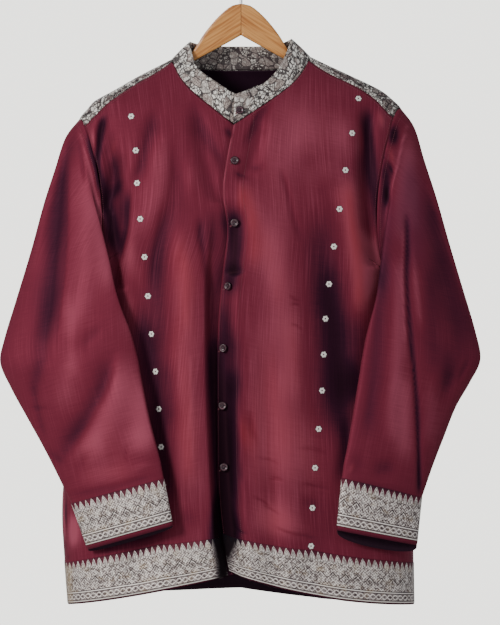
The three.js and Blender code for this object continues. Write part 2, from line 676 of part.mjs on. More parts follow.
for (const sideKey of ['right', 'left']) {
  const grid = sleeveGrid(sideKey);
  addPiece(`sleeve_${sideKey}`, clothWallGeometry(grid, clothWall, 0, true), silk());
  const band = grid.slice(-cuffBandRings, -1);
  addPiece(`cuff_band_${sideKey}`, clothWallGeometry(band, bandWall, seamGap + bandWall, true), brocade());
}

// Collar: one band from the lapping end round the back of the neck to the tucked end.
const collarTurns = Array.from({ length: collarSteps + 1 }, (_, i) => mix(180, -180, i / collarSteps));
const collarTuckSteps = 3;

function collarColumn(degrees, inward) {
  const base = neckPoint((degrees + 360) % 360);
  const edge = neckRing((degrees + 360) % 360, collarEdge);
  const lean = edge.front ? collarLean.front : collarLean.back;
  const top = new THREE.Vector3(edge.x, base.y * lean, edge.z);
  const up = top.clone().sub(base);
  const column = [1, 0.66, 0.33, 0].map((share) => base.clone().addScaledVector(up, mix(collarGap / up.length(), 1, share)));
  const middleY = -readTable(torsoSections, 'z', 'front', frontNeckZ) / 2;
  for (const point of column) {
    const outward = new THREE.Vector3(point.x, point.y - middleY, 0).normalize();
    point.addScaledVector(outward, -inward);
  }
  return column;
}

function collarGrid() {
  const tuck = collarTurns.slice(1, collarTuckSteps + 1);
  const last = collarTurns.length - 1;
  const columns = collarTurns.map((degrees, i) => collarColumn(degrees, i === last ? lapStep + collarWall : 0));
  for (const degrees of tuck) columns.push(collarColumn(degrees, lapStep + collarWall));
  return columns[0].map((_, row) => columns.map((column) => column[row]));
}

const collarSurface = collarGrid();
addPiece('collar', clothWallGeometry(collarSurface, collarWall), brocade());

// Buttons sit flat on the left front and on the collar.
function surfaceAt(grid, x, z) {
  // The facet of a grid that lies over a place seen from the front.
  const ray = new THREE.Ray(new THREE.Vector3(x, -500, z), new THREE.Vector3(0, 1, 0));
  const hit = new THREE.Vector3();
  let found = null;
  for (let i = 0; i < grid.length - 1; i += 1) {
    for (let j = 0; j < grid[0].length - 1; j += 1) {
      const [a, b, c, d] = [grid[i][j], grid[i + 1][j], grid[i + 1][j + 1], grid[i][j + 1]];
      for (const triangle of [[a, b, c], [a, c, d], [a, b, d], [b, c, d]]) {
        if (ray.intersectTriangle(...triangle, false, hit) && (!found || hit.y < found.point.y)) {
          found = { point: hit.clone(), normal: new THREE.Triangle(...triangle).getNormal(new THREE.Vector3()) };
        }
      }
    }
  }
  if (found.normal.y > 0) found.normal.negate();
  return found;
}

function addButton(name, grid, x, z) {
  // The back of the button rests on the highest point of the cloth under it.
  const { point, normal } = surfaceAt(grid, x, z);
  let seat = 0;
  for (let i = 0; i < 12; i += 1) {
    const turn = (i / 12) * 2 * Math.PI;
    const reach = buttonDiameter * 0.5;
    const under = surfaceAt(grid, x + reach * Math.cos(turn), z + reach * Math.sin(turn));
    seat = Math.max(seat, under.point.sub(point).dot(normal));
  }
  const disc = new THREE.CylinderGeometry(buttonDiameter / 2, buttonDiameter / 2, buttonThickness, 20);
  const mesh = addPiece(name, disc, buttonShell());
  mesh.quaternion.setFromUnitVectors(new THREE.Vector3(0, 1, 0), normal);
  mesh.position.copy(point).addScaledVector(normal, buttonThickness / 2 + seat + buttonSeat);
}

addButton('button_collar', collarSurface, -2, -204);
buttonHeights.forEach((z, i) => addButton(`button_${i + 1}`, leftFront, frontEdgeX(z) + buttonInset, z));

// Hanger: two mitred arms and a steel hook.
function hangerArm(sideKey) {
  const { sign } = sides[sideKey];
  const under = (x) => hangerPeakZ - hangerSlope * x;
  const shape = new THREE.Shape();
  shape.moveTo(seamGap / 2, hangerTopZ);
  const archEnd = hangerArch[hangerArch.length - 1].x;
  for (let x = 6; x <= archEnd; x += 6) shape.lineTo(x, readTable(hangerArch, 'x', 'z', x));
  for (let x = hangerSeatStart; x < hangerReach; x += hangerStep) {
    shape.lineTo(x, shoulderLine(sideKey, x) - hangerSeat);
  }
  const tipTop = shoulderLine(sideKey, hangerReach) - hangerSeat;
  shape.lineTo(hangerReach, tipTop);
  shape.quadraticCurveTo(hangerReach + 8, tipTop - 8, hangerReach + 4, under(hangerReach));
  shape.lineTo(hangerReach - 8, under(hangerReach - 8));
  shape.lineTo(seamGap / 2, under(0));
  const depth = hangerThickness - 2 * hangerBevel;
  const geometry = new THREE.ExtrudeGeometry(shape, {
    depth, bevelEnabled: true, bevelThickness: hangerBevel, bevelSize: hangerBevel, bevelOffset: -hangerBevel,
    bevelSegments: 2, curveSegments: 4,
  });
  geometry.rotateX(Math.PI / 2);
  geometry.translate(0, depth / 2, 0);
  if (sign < 0) geometry.rotateZ(Math.PI);
  return geometry;
}

for (const sideKey of ['right', 'left']) {
  addPiece(`hanger_arm_${sideKey}`, hangerArm(sideKey), wood());
}

class HookPath extends THREE.Curve {
  getPoint(t) {
    // Up the stem, then round the hook from its lowest point over the rail to its tip.
    const radius = hookInnerRadius + hookWire / 2;
    const centreZ = -hookInnerRadius;
    const stemFoot = hangerTopZ + seamGap;
    const stem = centreZ - radius - stemFoot;
    const sweep = THREE.MathUtils.degToRad(hookSweep);
    const along = t * (stem + radius * sweep);
    if (along < stem) return new THREE.Vector3(0, 0, stemFoot + along);
    const turn = (along - stem) / radius - Math.PI / 2;
    return new THREE.Vector3(radius * Math.cos(turn), 0, centreZ + radius * Math.sin(turn));
  }
}

const wireShape = new THREE.Shape().absarc(0, 0, hookWire / 2, 0, 2 * Math.PI);
const hookGeometry = new THREE.ExtrudeGeometry(wireShape, { steps: 48, extrudePath: new HookPath(), curveSegments: 5 });
addPiece('hanger_hook', hookGeometry, steel());

export default shirt;
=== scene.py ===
import math

import bmesh
import bpy
import numpy as np
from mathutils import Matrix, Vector
from mathutils.bvhtree import BVHTree


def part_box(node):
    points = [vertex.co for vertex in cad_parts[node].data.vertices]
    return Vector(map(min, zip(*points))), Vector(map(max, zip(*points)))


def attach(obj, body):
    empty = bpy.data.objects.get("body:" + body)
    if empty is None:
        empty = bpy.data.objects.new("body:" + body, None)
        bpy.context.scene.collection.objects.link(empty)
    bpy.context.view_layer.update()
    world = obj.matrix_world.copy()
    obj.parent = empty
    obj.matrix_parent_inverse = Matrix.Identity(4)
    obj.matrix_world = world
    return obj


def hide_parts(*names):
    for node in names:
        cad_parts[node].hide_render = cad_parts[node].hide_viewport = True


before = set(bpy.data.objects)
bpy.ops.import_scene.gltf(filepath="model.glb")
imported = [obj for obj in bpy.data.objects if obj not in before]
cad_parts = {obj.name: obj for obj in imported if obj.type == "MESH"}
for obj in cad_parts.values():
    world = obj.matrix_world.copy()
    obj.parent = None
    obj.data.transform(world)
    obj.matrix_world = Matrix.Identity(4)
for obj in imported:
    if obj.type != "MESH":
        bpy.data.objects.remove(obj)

for name in ("Cube", "Light", "Camera"):  # Blender's own start-up objects
    if name in bpy.data.objects:
        bpy.data.objects.remove(bpy.data.objects[name])
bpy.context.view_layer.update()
print("frame loaded:", len(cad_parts), "nodes")

# The form of the cloth is worked out in millimetres, front towards -Y, and put in place in metres.
metre = 0.001
form = {
    "clothWall": 0.7, "collarWall": 1.5, "facingWall": 0.6, "facingGap": 1.0, "bandLift": 0.55, "bandWall": 0.45,
    "yokeSeamGap": 0.35, "backSeamGap": 0.35, "sideSeamGap": 0.06, "armholeGap": 0.35, "collarGap": 0.35,
    "lapStep": 2.4, "underlapWidth": 30, "roundness": 2.2, "topZ": -84, "yokeSeamZ": -240, "yokeSeamReach": 222,
    "armpitZ": -430, "hemZ": -887, "hemReach": 243, "hemBandHeight": 58, "hemBandMargin": 2, "backHemLift": 21,
    "lapCornerSlope": 0.48, "neckReach": 96, "frontNeckX": -10, "frontNeckZ": -223.7, "backNeckZ": -146,
}
# Half widths to the right and left of the middle, and depths in front and behind, down the body.
torsoSections = {
    "z": [-84, -134, -155, -175, -190, -200, -215, -240, -330, -430, -500, -600, -700, -760, -820, -887],
    "right": [6, 100, 141, 176, 203, 212, 224, 226, 217, 210, 214, 230, 244, 248, 245, 240],
    "left": [6, 107, 152, 193, 212, 221.5, 225, 227, 218, 210, 213, 224, 234, 238, 239, 240],
    "front": [5, 18, 28, 37, 43, 47, 51, 58, 70, 77, 80, 82, 84, 85, 85, 85],
    "back": [8, 24, 38, 47, 52, 55, 57, 60, 64, 65, 64, 62, 61, 60, 60, 60],
}
sides = {
    "right": {"sign": -1, "shoulderZ": -215, "frontInset": 24, "backInset": 14, "hemLift": 44, "hemPower": 1.3,
              "backPower": 0.4},
    "left": {"sign": 1, "shoulderZ": -200, "frontInset": 30, "backInset": 14, "hemLift": 39, "hemPower": 2,
             "backPower": 1.9},
}


def mix(a, b, t):
    return a + (b - a) * t


def smoothStep(t):
    t = np.clip(t, 0, 1)
    return t * t * (3 - 2 * t)


def curveBetween(a, b, slopeA, slopeB, t):  # leaves a and reaches b at the given slopes
    return ((2 * t**3 - 3 * t**2 + 1) * a + (t**3 - 2 * t**2 + t) * slopeA
            + (3 * t**2 - 2 * t**3) * b + (t**3 - t**2) * slopeB)


def readTable(table, key, column, at):  # smooth interpolation of one column
    keys, values = np.array(table[key], float), np.array(table[column], float)
    if keys[0] > keys[-1]:
        keys, values = keys[::-1], values[::-1]
    slopes = np.empty_like(values)
    slopes[1:-1] = (values[2:] - values[:-2]) / (keys[2:] - keys[:-2])
    slopes[0] = (values[1] - values[0]) / (keys[1] - keys[0])
    slopes[-1] = (values[-1] - values[-2]) / (keys[-1] - keys[-2])
    at = np.clip(at, keys[0], keys[-1])
    i = np.clip(np.searchsorted(keys, at) - 1, 0, len(keys) - 2)
    span = keys[i + 1] - keys[i]
    return curveBetween(values[i], values[i + 1], span * slopes[i], span * slopes[i + 1], (at - keys[i]) / span)


def bySide(x, right, left):
    return np.where(np.asarray(x) < 0, right, left)


def halfWidth(side, z):
    return readTable(torsoSections, "z", side, z)


def sideShare(x, z):  # 0 in the middle of the body, 1 at its sides
    return np.clip(np.abs(x) / bySide(x, halfWidth("right", z), halfWidth("left", z)), 0, 1)


def seamFade(x, z):  # relief dies out towards the side seams
    return np.minimum(1, (1 - sideShare(x, z) ** form["roundness"]) * 3)


def shoulderLine(side, reach):  # height of the shoulder line at a distance from the middle
    reach = np.asarray(reach, float)
    high, low = np.full(reach.shape, float(form["topZ"])), np.full(reach.shape, float(sides[side]["shoulderZ"]))
    for _ in range(30):
        middle = (high + low) / 2
        narrow = halfWidth(side, middle) < reach
        high, low = np.where(narrow, middle, high), np.where(narrow, low, middle)
    return (high + low) / 2


# The broad drape of the panels: x, z, endX, endZ, bow, width, depth.
frontDrape = [
    (-190, -213, -172, -450, 6, 11, 10), (-166, -262, -186, -345, 0, 9, 6), (178, -190, 186, -420, -9, 11, 11),
    (-62, -205, -32, -330, -4, 12, 5), (30, -212, 4, -300, 3, 11, 5), (-132, -330, -140, -860, 5, 26, 6),
    (92, -420, 104, -880, 6, 30, 6), (30, -500, 46, -880, 4, 16, 5),
]
backDrape = [
    (-150, -260, -168, -880, -6, 26, 8), (-62, -300, -78, -880, 6, 24, 9), (24, -380, 12, -880, -5, 22, 7),
    (104, -280, 118, -880, 6, 26, 9), (172, -300, 176, -860, -4, 20, 7),
]


def drapeDepth(folds, x, z):
    total = 0.0
    for foldX, foldZ, endX, endZ, bow, width, depth in folds:
        along = (z - foldZ) / (endZ - foldZ)
        across = (x - mix(foldX, endX, along) - bow * np.sin(np.pi * along)) / width
        strength = smoothStep(along / 0.25) * smoothStep((1 - along) / 0.2 + 0.45)  # at its top and at its foot
        total = total + np.where((along > 0) & (along < 1), depth * strength * np.exp(-across * across), 0)
    return total


trough = {
    "z": [-340, -400, -454, -600, -742, -847], "x": [-42, -48, -51, -49, -42, -33], "depth": [0, 6, 13, 17, 17, 15],
    "fullDepth": 17, "rise": 10, "floor": 24, "back": 24, "crestLift": 5, "crestWidth": 38, "crestAway": 10,
}


def troughDepth(x, z):  # the deep upright fold beside the front edge
    depth = readTable(trough, "z", "depth", z)
    beyond = x - readTable(trough, "z", "x", z)
    rise = smoothStep(beyond / trough["rise"])
    fall = 1 - smoothStep((beyond - trough["floor"]) / trough["back"])
    nearCrest = np.exp(-(((beyond + trough["crestAway"]) / trough["crestWidth"]) ** 2))
    crest = nearCrest * trough["crestLift"] * (depth / trough["fullDepth"])
    return np.where(z > trough["z"][0], 0, depth * rise * fall - np.where(beyond < 0, crest, crest * (1 - rise)))


def torsoDepth(face, x, z):
    roundness = (1 - sideShare(x, z) ** form["roundness"]) ** (1 / form["roundness"])
    depth, fade = readTable(torsoSections, "z", face, z) * roundness, np.minimum(1, roundness * 2.5)
    if face == "front":
        return -depth + (drapeDepth(frontDrape, x, z) + troughDepth(x, z)) * fade
    return depth - drapeDepth(backDrape, x, z) * fade


def onTorso(inFront, x, z):
    x, z = np.broadcast_arrays(np.asarray(x, float), np.asarray(z, float))
    return np.stack([x, np.where(inFront, torsoDepth("front", x, z), torsoDepth("back", x, z)), z], -1)


def hemHeight(face, x):  # face is "back", or the side of a front
    inward = 1 - np.clip(np.abs(x) / form["hemReach"], 0, 1)
    if face == "back":
        power = bySide(x, sides["right"]["backPower"], sides["left"]["backPower"])
        return form["hemZ"] + form["backHemLift"] * inward**power
    lift = sides[face]["hemLift"] * inward ** sides[face]["hemPower"]
    if face == "left":  # its lapping corner is rounded off
        lift = np.where(x < 0, sides[face]["hemLift"] - form["lapCornerSlope"] * x, lift)
    return form["hemZ"] + lift


def armholePoint(side, degrees):  # 0 at the shoulder, 90 in front, 180 at the armpit, 270 at the back
    turn, inFront = np.radians(degrees), np.asarray(degrees) <= 180
    z = mix(sides[side]["shoulderZ"], form["armpitZ"], (1 - np.cos(turn)) / 2)
    inset = np.where(inFront, sides[side]["frontInset"], sides[side]["backInset"])
    return onTorso(inFront, sides[side]["sign"] * (halfWidth(side, z) - inset * np.abs(np.sin(turn))), z)


# How far the yoke's front seam lies below the shoulder line.
yokeFrontDrop = {"x": [96, 120, 160, 185, 205, 226], "right": [4, 8, 10, 14, 22, 16], "left": [7, 11, 12, 17, 25, 18]}


def yokeFrontZ(side, reach):
    return shoulderLine(side, reach) - readTable(yokeFrontDrop, "x", side, reach)


def armholeSeam(side, inFront):  # degrees at which the yoke seam meets the armhole
    near, far = 0.0, 180.0
    for _ in range(30):
        middle = (near + far) / 2
        x, _, z = armholePoint(side, middle if inFront else 360 - middle)
        seamZ = yokeFrontZ(side, min(abs(x), form["yokeSeamReach"])) if inFront else form["yokeSeamZ"]
        near, far = (near, middle) if z < seamZ else (middle, far)
    return (near + far) / 2


seams = {side: {"front": armholeSeam(side, True), "back": armholeSeam(side, False)} for side in sides}

# The neck seam and the collar's upper edge run from the middle of the front round the sides to the back.
neckSeam = {
    "frontX": form["frontNeckX"], "frontZ": form["frontNeckZ"], "backZ": form["backNeckZ"],
    **{side: {"reach": form["neckReach"], "z": shoulderLine(side, form["neckReach"]), "linear": 0.75, "power": 8}
       for side in sides},
}
collarEdge = {
    "frontX": -9, "frontZ": -181.5, "backZ": -114, "frontLean": 0.88, "backLean": 0.45,
    "right": {"reach": 71, "z": -107.5, "linear": 0.57, "power": 12},
    "left": {"reach": 70, "z": -103.5, "linear": 0.3, "power": 4},
}


def neckRise(share, linear, power):  # from 0 in the middle of the front to 1 at the side of the neck
    return linear * share + (1 - linear) * share**power


def frontNeckHeight(x):
    heights = {}
    for side in sides:
        width = abs(sides[side]["sign"] * form["neckReach"] - form["frontNeckX"])
        share = np.clip(np.abs(x - form["frontNeckX"]) / width, 0, 1)
        rise = neckRise(share, neckSeam[side]["linear"], neckSeam[side]["power"])
        heights[side] = mix(form["frontNeckZ"], neckSeam[side]["z"], rise)
    return np.where(x < form["frontNeckX"], heights["right"], heights["left"])


def backNeckHeight(side, reach):
    return mix(form["backNeckZ"], neckSeam[side]["z"], np.clip(reach / form["neckReach"], 0, 1) ** 4)


# The main creases, and strokes of painted light and shade with no depth: depth, positive for a trough and negative for
# a ridge, how far it reaches to the left or below and to the right or above, and how much a painted highlight lightens
# and warms it, below 0 how much painted shade darkens and cools it. Then x and z of its points in turn, from its upper
# end, or from left to right.
frontCreases = [
    (5, 5, 4.6, -1.35, -0.25, -186, -201, -193, -229, -197, -256, -198, -286, -194, -313),
    (5, 13.7, 8.2, -1.1, -0.35, -195, -274, -188, -323, -180, -355, -175, -382, -172, -400, -169, -419),
    (1.5, 6.9, 5.9, -0.45, -0.1, -182, -245, -175, -272, -169, -300, -163, -336),
    (-3, 5.9, 4.1, 0.7, 0.25, -206, -221, -203, -245, -201, -268),
    (-2, 5.7, 6.9, 0.25, 0.3, -172, -231, -177, -258, -182, -286),
    (2, 5.7, 5.7, -0.45, 0, -163, -295, -172, -313, -185, -334),
    (1.5, 9.2, 8, -0.3, 0, -164, -313, -164, -341, -168, -371),
    (3, 7.8, 1.8, -0.75, -0.2, -153, -304, -156, -355, -159, -377, -164, -398, -168, -428),
    (-2, 2.7, 14.2, 0.25, 0.1, -150, -334, -151, -371, -156, -400, -156, -425),
    (4.5, 18.3, 11.9, -0.65, -0.5, -140, -462, -134, -506, -126, -542, -118, -588, -111, -645, -103, -702, -94, -762),
    (0, 9.2, 9.2, 0.3, 0.05, -156, -439, -152, -485, -143, -519),
    (0, 11.4, 11.4, 0.35, 0.1, -154, -371, -150, -405, -138, -462),
    (3, 8.7, 11.4, -0.55, 0, -115, -190, -121, -217, -127, -238, -133, -261, -139, -286, -152, -318),
    (-2.5, 21.7, 16, 0.35, 0, -107, -217, -110, -279, -116, -325, -127, -371, -134, -407),
    (2.6, 6.9, 19.2, -0.3, 0, -96, -231, -92, -272, -92, -304, -98, -336, -111, -373, -118, -405, -121, -439,
     -120, -478),
    (1.6, 14.6, 14.6, -0.42, -0.02, -99, -318, -110, -373, -114, -414, -114, -462, -111, -519, -107, -565),
    (-3, 18.3, 18.3, 0.3, 0.32, -82, -350, -83, -405, -81, -451, -79, -496, -78, -565, -75, -634, -70, -748),
    (-0.6, 6.9, 6.9, 0.2, 0.15, -76, -391, -74, -451, -74, -519),
    (2.5, 4.6, 5.5, -0.55, 0, -55, -345, -56, -377, -50, -407, -48, -446),
    (0, 13.7, 11.4, -0.4, 0, -44, -323, -42, -371, -40, -416, -37, -474),
    (0, 7.8, 10.1, 0.55, 0.1, -47, -377, -44, -416, -42, -462),
    (0, 12.8, 15.1, -0.5, -0.4, -38, -508, -35, -588, -27, -657, -24, -725, -22, -817),
    (0, 13.7, 11, -1.7, -0.3, -28, -718, -27, -787, -26, -855, -24, -947),
    (0, 10.5, 12.8, -0.5, -0.3, -37, -496, -36, -542, -33, -588, -27, -657, -24, -725, -22, -817),
    (3, 10.3, 9.2, -0.4, 0, -66, -181, -58, -220, -43, -247, -28, -272, -25, -304),
    (1.5, 4.6, 4.6, -0.7, 0, -24, -225, -16, -236, -9, -245),
    (-1.5, 11.4, 11.4, 0.2, 0, -76, -252, -67, -295, -70, -336),
    (0, 10.5, 10.5, -0.5, -0.1, -104, -533, -99, -588, -94, -657),
    (-1.5, 8.7, 13.7, 0.4, 0.5, -2, -293, 1, -323, -3, -355),
    (1, 3.2, 3.2, -0.55, 0, -13, -286, -1, -294, 11, -295),
    (2, 10.5, 12.4, -1.35, -0.15, -11, -323, -9, -355, -9, -389, -10, -416, -12, -439),
    (3, 2.7, 10.3, -0.8, 0, -26, -426, -10, -429, 11, -425),
    (0, 6.9, 14.2, -0.45, 0, -25, -451, -24, -496, -21, -551),
    (0, 13.7, 13.7, -0.85, -0.2, -12, -551, -11, -599, -13, -668, -15, -725, -12, -762),
    (0, 12.8, 11.4, -0.9, -0.2, -15, -396, -12, -439, -13, -471),
    (0, 11.4, 14.6, -2.2, -0.3, -26, -732, -23, -764, -22, -798, -21, -830),
    (0, 4.6, 9.2, -0.45, 0, -24, -323, -25, -355, -21, -382),
    (3, 6.4, 6.4, -0.55, 0, 49, -183, 31, -206, 17, -231, 2, -263),
    (1, 1.8, 1.8, -0.4, 0, 30, -197, 19, -217, 11, -238),
    (1.2, 4.6, 4.6, -0.4, 0, 7, -284, 24, -283, 38, -278),
    (1.6, 4.1, 4.1, -0.28, 0, 53, -279, 65, -318, 72, -350, 86, -391),
    (-2, 13.7, 13.7, 0.3, 0.4, 15, -318, 17, -382, 22, -446),
    (-1, 16, 20.6, 0.4, 0.25, 26, -336, 38, -382, 47, -439, 51, -496),
    (0, 20.6, 20.6, 0.45, 0.2, -1, -784, 47, -773, 113, -791),
    (-2, 27.5, 29.7, 0.3, 0, 42, -206, 56, -268, 49, -336, 47, -405, 56, -474, 47, -565),
    (0, 50.3, 52.6, 0.42, 0.06, 67, -149, 72, -190, 81, -245, 95, -304),
    (0, 22.9, 13.7, 0.4, 0.1, 141, -194, 141, -245, 147, -286),
    (0, 34.3, 52.6, 0.42, 0.22, 33, -430, 38, -501, 40, -581, 40, -672, 47, -798),
    (0, 34.3, 29.7, 0.35, 0.1, 70, -592, 88, -672, 111, -764),
    (-1.2, 16, 16, 0.12, 0, 88, -190, 92, -233, 88, -279),
    (0, 13.7, 14.6, 0.45, 0.1, 66, -462, 68, -531, 71, -622),
    (0, 25.2, 27.5, 0.5, 0.15, 38, -722, 51, -773, 56, -809),
    (0, 9.2, 9.2, 0.12, 0, 88, -268, 99, -318, 104, -359),
    (4, 25.2, 21.7, -0.6, -0.1, 97, -323, 109, -359, 112, -405, 117, -462, 128, -508, 131, -565, 136, -622, 138, -689),
    (3, 21.7, 19.4, -0.6, -0.15, 120, -393, 127, -485, 131, -535, 134, -588, 139, -657),
    (0, 16, 20.6, -0.4, -0.15, 159, -459, 161, -523, 157, -585),
    (-3.2, 15.1, 18.3, 0.8, 0.55, 141, -274, 150, -336, 155, -371, 162, -405, 166, -439, 164, -474, 161, -508),
    (0, 15.1, 16, 1.2, 0.05, 170, -359, 178, -405, 179, -462),
    (4.2, 10.5, 8.7, -0.95, -0.05, 177, -185, 175, -222, 178, -256, 182, -290, 188, -325, 192, -350, 195, -382),
    (-2, 5.7, 5, 0.5, 0.4, 190, -197, 195, -217, 195, -236),
    (0, 7.8, 5.7, 0.4, 0.15, 159, -210, 165, -245, 161, -279),
    (1, 18.3, 20.6, -0.8, -0.15, 150, -533, 155, -576, 159, -622),
    (-2, 34.3, 34.3, 0.2, 0.1, 22, -521, 47, -626, 58, -695, 79, -777),
    (1.6, 5, 3.4, -0.35, 0, 12, -610, 15, -638, 23, -668),
    (1.1, 1.8, 1.8, -0.35, 0, 35, -714, 49, -711, 62, -716),
    (1.2, 1.8, 2.1, -0.35, 0, 79, -718, 104, -722, 133, -727),
    (1.2, 1.8, 2.1, -0.35, 0, 11, -734, 31, -743, 46, -756),
    (1, 1.6, 1.6, -0.3, 0, 26, -745, 47, -757, 62, -765),
    (1.1, 1.8, 1.8, -0.35, 0, 42, -776, 67, -786, 88, -790, 110, -795),
    (0.9, 2.1, 2.1, -0.2, 0, 74, -670, 104, -672, 127, -681),
    (0.8, 6.9, 6.9, -0.35, 0, 81, -748, 95, -745, 111, -755),
    (2, 11.4, 6.9, -0.75, -0.3, 143, -613, 145, -672, 139, -732),
    (0.8, 1.8, 1.8, -0.2, 0, 15, -681, 40, -686, 58, -695),
    (1, 1.6, 1.6, -0.5, 0, 64, -458, 76, -465, 86, -466),
    (0.8, 1.4, 1.4, -0.4, 0, 65, -474, 74, -471, 85, -476),
    (1, 1.6, 1.6, -0.4, 0, 65, -499, 76, -501, 88, -508),
    (0, 13.7, 11, -0.6, -0.2, -12, -489, -7, -546, -7, -581, -14, -613),
    (-0.6, 2.7, 2.7, 0.25, 0, -70, -535, -68, -604, -67, -695),
    (0, 13.7, 13.7, -0.3, 0, -90, -752, -74, -764, -51, -777),
    (2, 10.1, 8.7, -0.75, -0.2, -214, -819, -172, -801, -138, -790, -86, -777),
    (-1.5, 5.7, 9.2, 0.5, 0, -240, -755, -235, -791, -233, -823),
    (0.5, 0.8, 0.8, -1.7, -0.2, -243, -709, -243, -764, -242, -807, -238, -828),
    (0.3, 0.5, 0.5, -0.8, 0, -237, -830, -234, -851, -232, -887),
    (0, 1.6, 1.4, 1.3, 0.4, -247, -718, -246, -764, -245, -807),
    (0, 4.1, 11.4, 0.9, 0.15, -234, -750, -232, -782, -233, -814),
    (1, 1.8, 1.8, -0.4, 0, -12, -773, -1, -784, 15, -790),
    (-1.5, 6.9, 13.7, 0.25, 0.35, -3, -604, 1, -645, 11, -690),
    (1, 4.6, 4.6, -0.3, 0, 0, -681, 1, -709, 11, -727),
    (0, 9.2, 7.8, 0.8, -0.2, 170, -382, 174, -423, 173, -474),
    (0, 11.4, 13.7, 0.45, 0.05, -172, -373, -167, -405, -163, -446),
    (0, 32, 32, 0.22, 0.05, 113, -263, 122, -284, 131, -309),
    (0, 10.1, 13.7, 0.3, 0.2, 11, -295, 13, -336, 12, -382),
]
# Columns as above: the fourth and fifth are painted highlight and painted shade, and their warmth.
backCreases = [
    (5, 10, 9, -0.65, 0, -176, -252, -186, -320, -178, -400, -166, -470),
    (3.6, 12, 16, -0.47, 0, -120, -244, -112, -330, -118, -430, -114, -520),
    (-3, 10, 12, 0.39, 0, -92, -246, -86, -300, -90, -360),
    (3.4, 10, 14, -0.44, 0, -30, -244, -24, -330, -32, -440, -28, -560),
    (3, 13, 9, -0.39, 0, 44, -244, 50, -330, 44, -420),
    (-3, 13, 16, 0.39, 0, 70, -250, 76, -340, 70, -430, 74, -560),
    (4, 10, 13, -0.52, 0, 136, -246, 146, -330, 140, -420, 132, -500),
    (5, 9, 10, -0.65, 0, 184, -250, 190, -330, 182, -400, 170, -466),
    (1.5, 5, 6, -0.2, 0, -110, -480, -80, -494, -44, -486),
    (1.5, 5, 6, -0.2, 0, 30, -500, 64, -512, 102, -502),
    (-3, 16, 16, 0.39, 0, -150, -620, -156, -720, -152, -830),
    (3, 16, 13, -0.39, 0, -48, -600, -44, -700, -50, -820),
    (2.8, 14, 17, -0.36, 0, 62, -610, 58, -720, 64, -840),
    (-3, 16, 13, 0.39, 0, 150, -600, 158, -700, 154, -820),
    (1.2, 5, 5, -0.16, 0, -90, -700, -30, -708, 30, -702),
    (1.2, 5, 5, -0.16, 0, -60, -744, 4, -751, 70, -744),
]
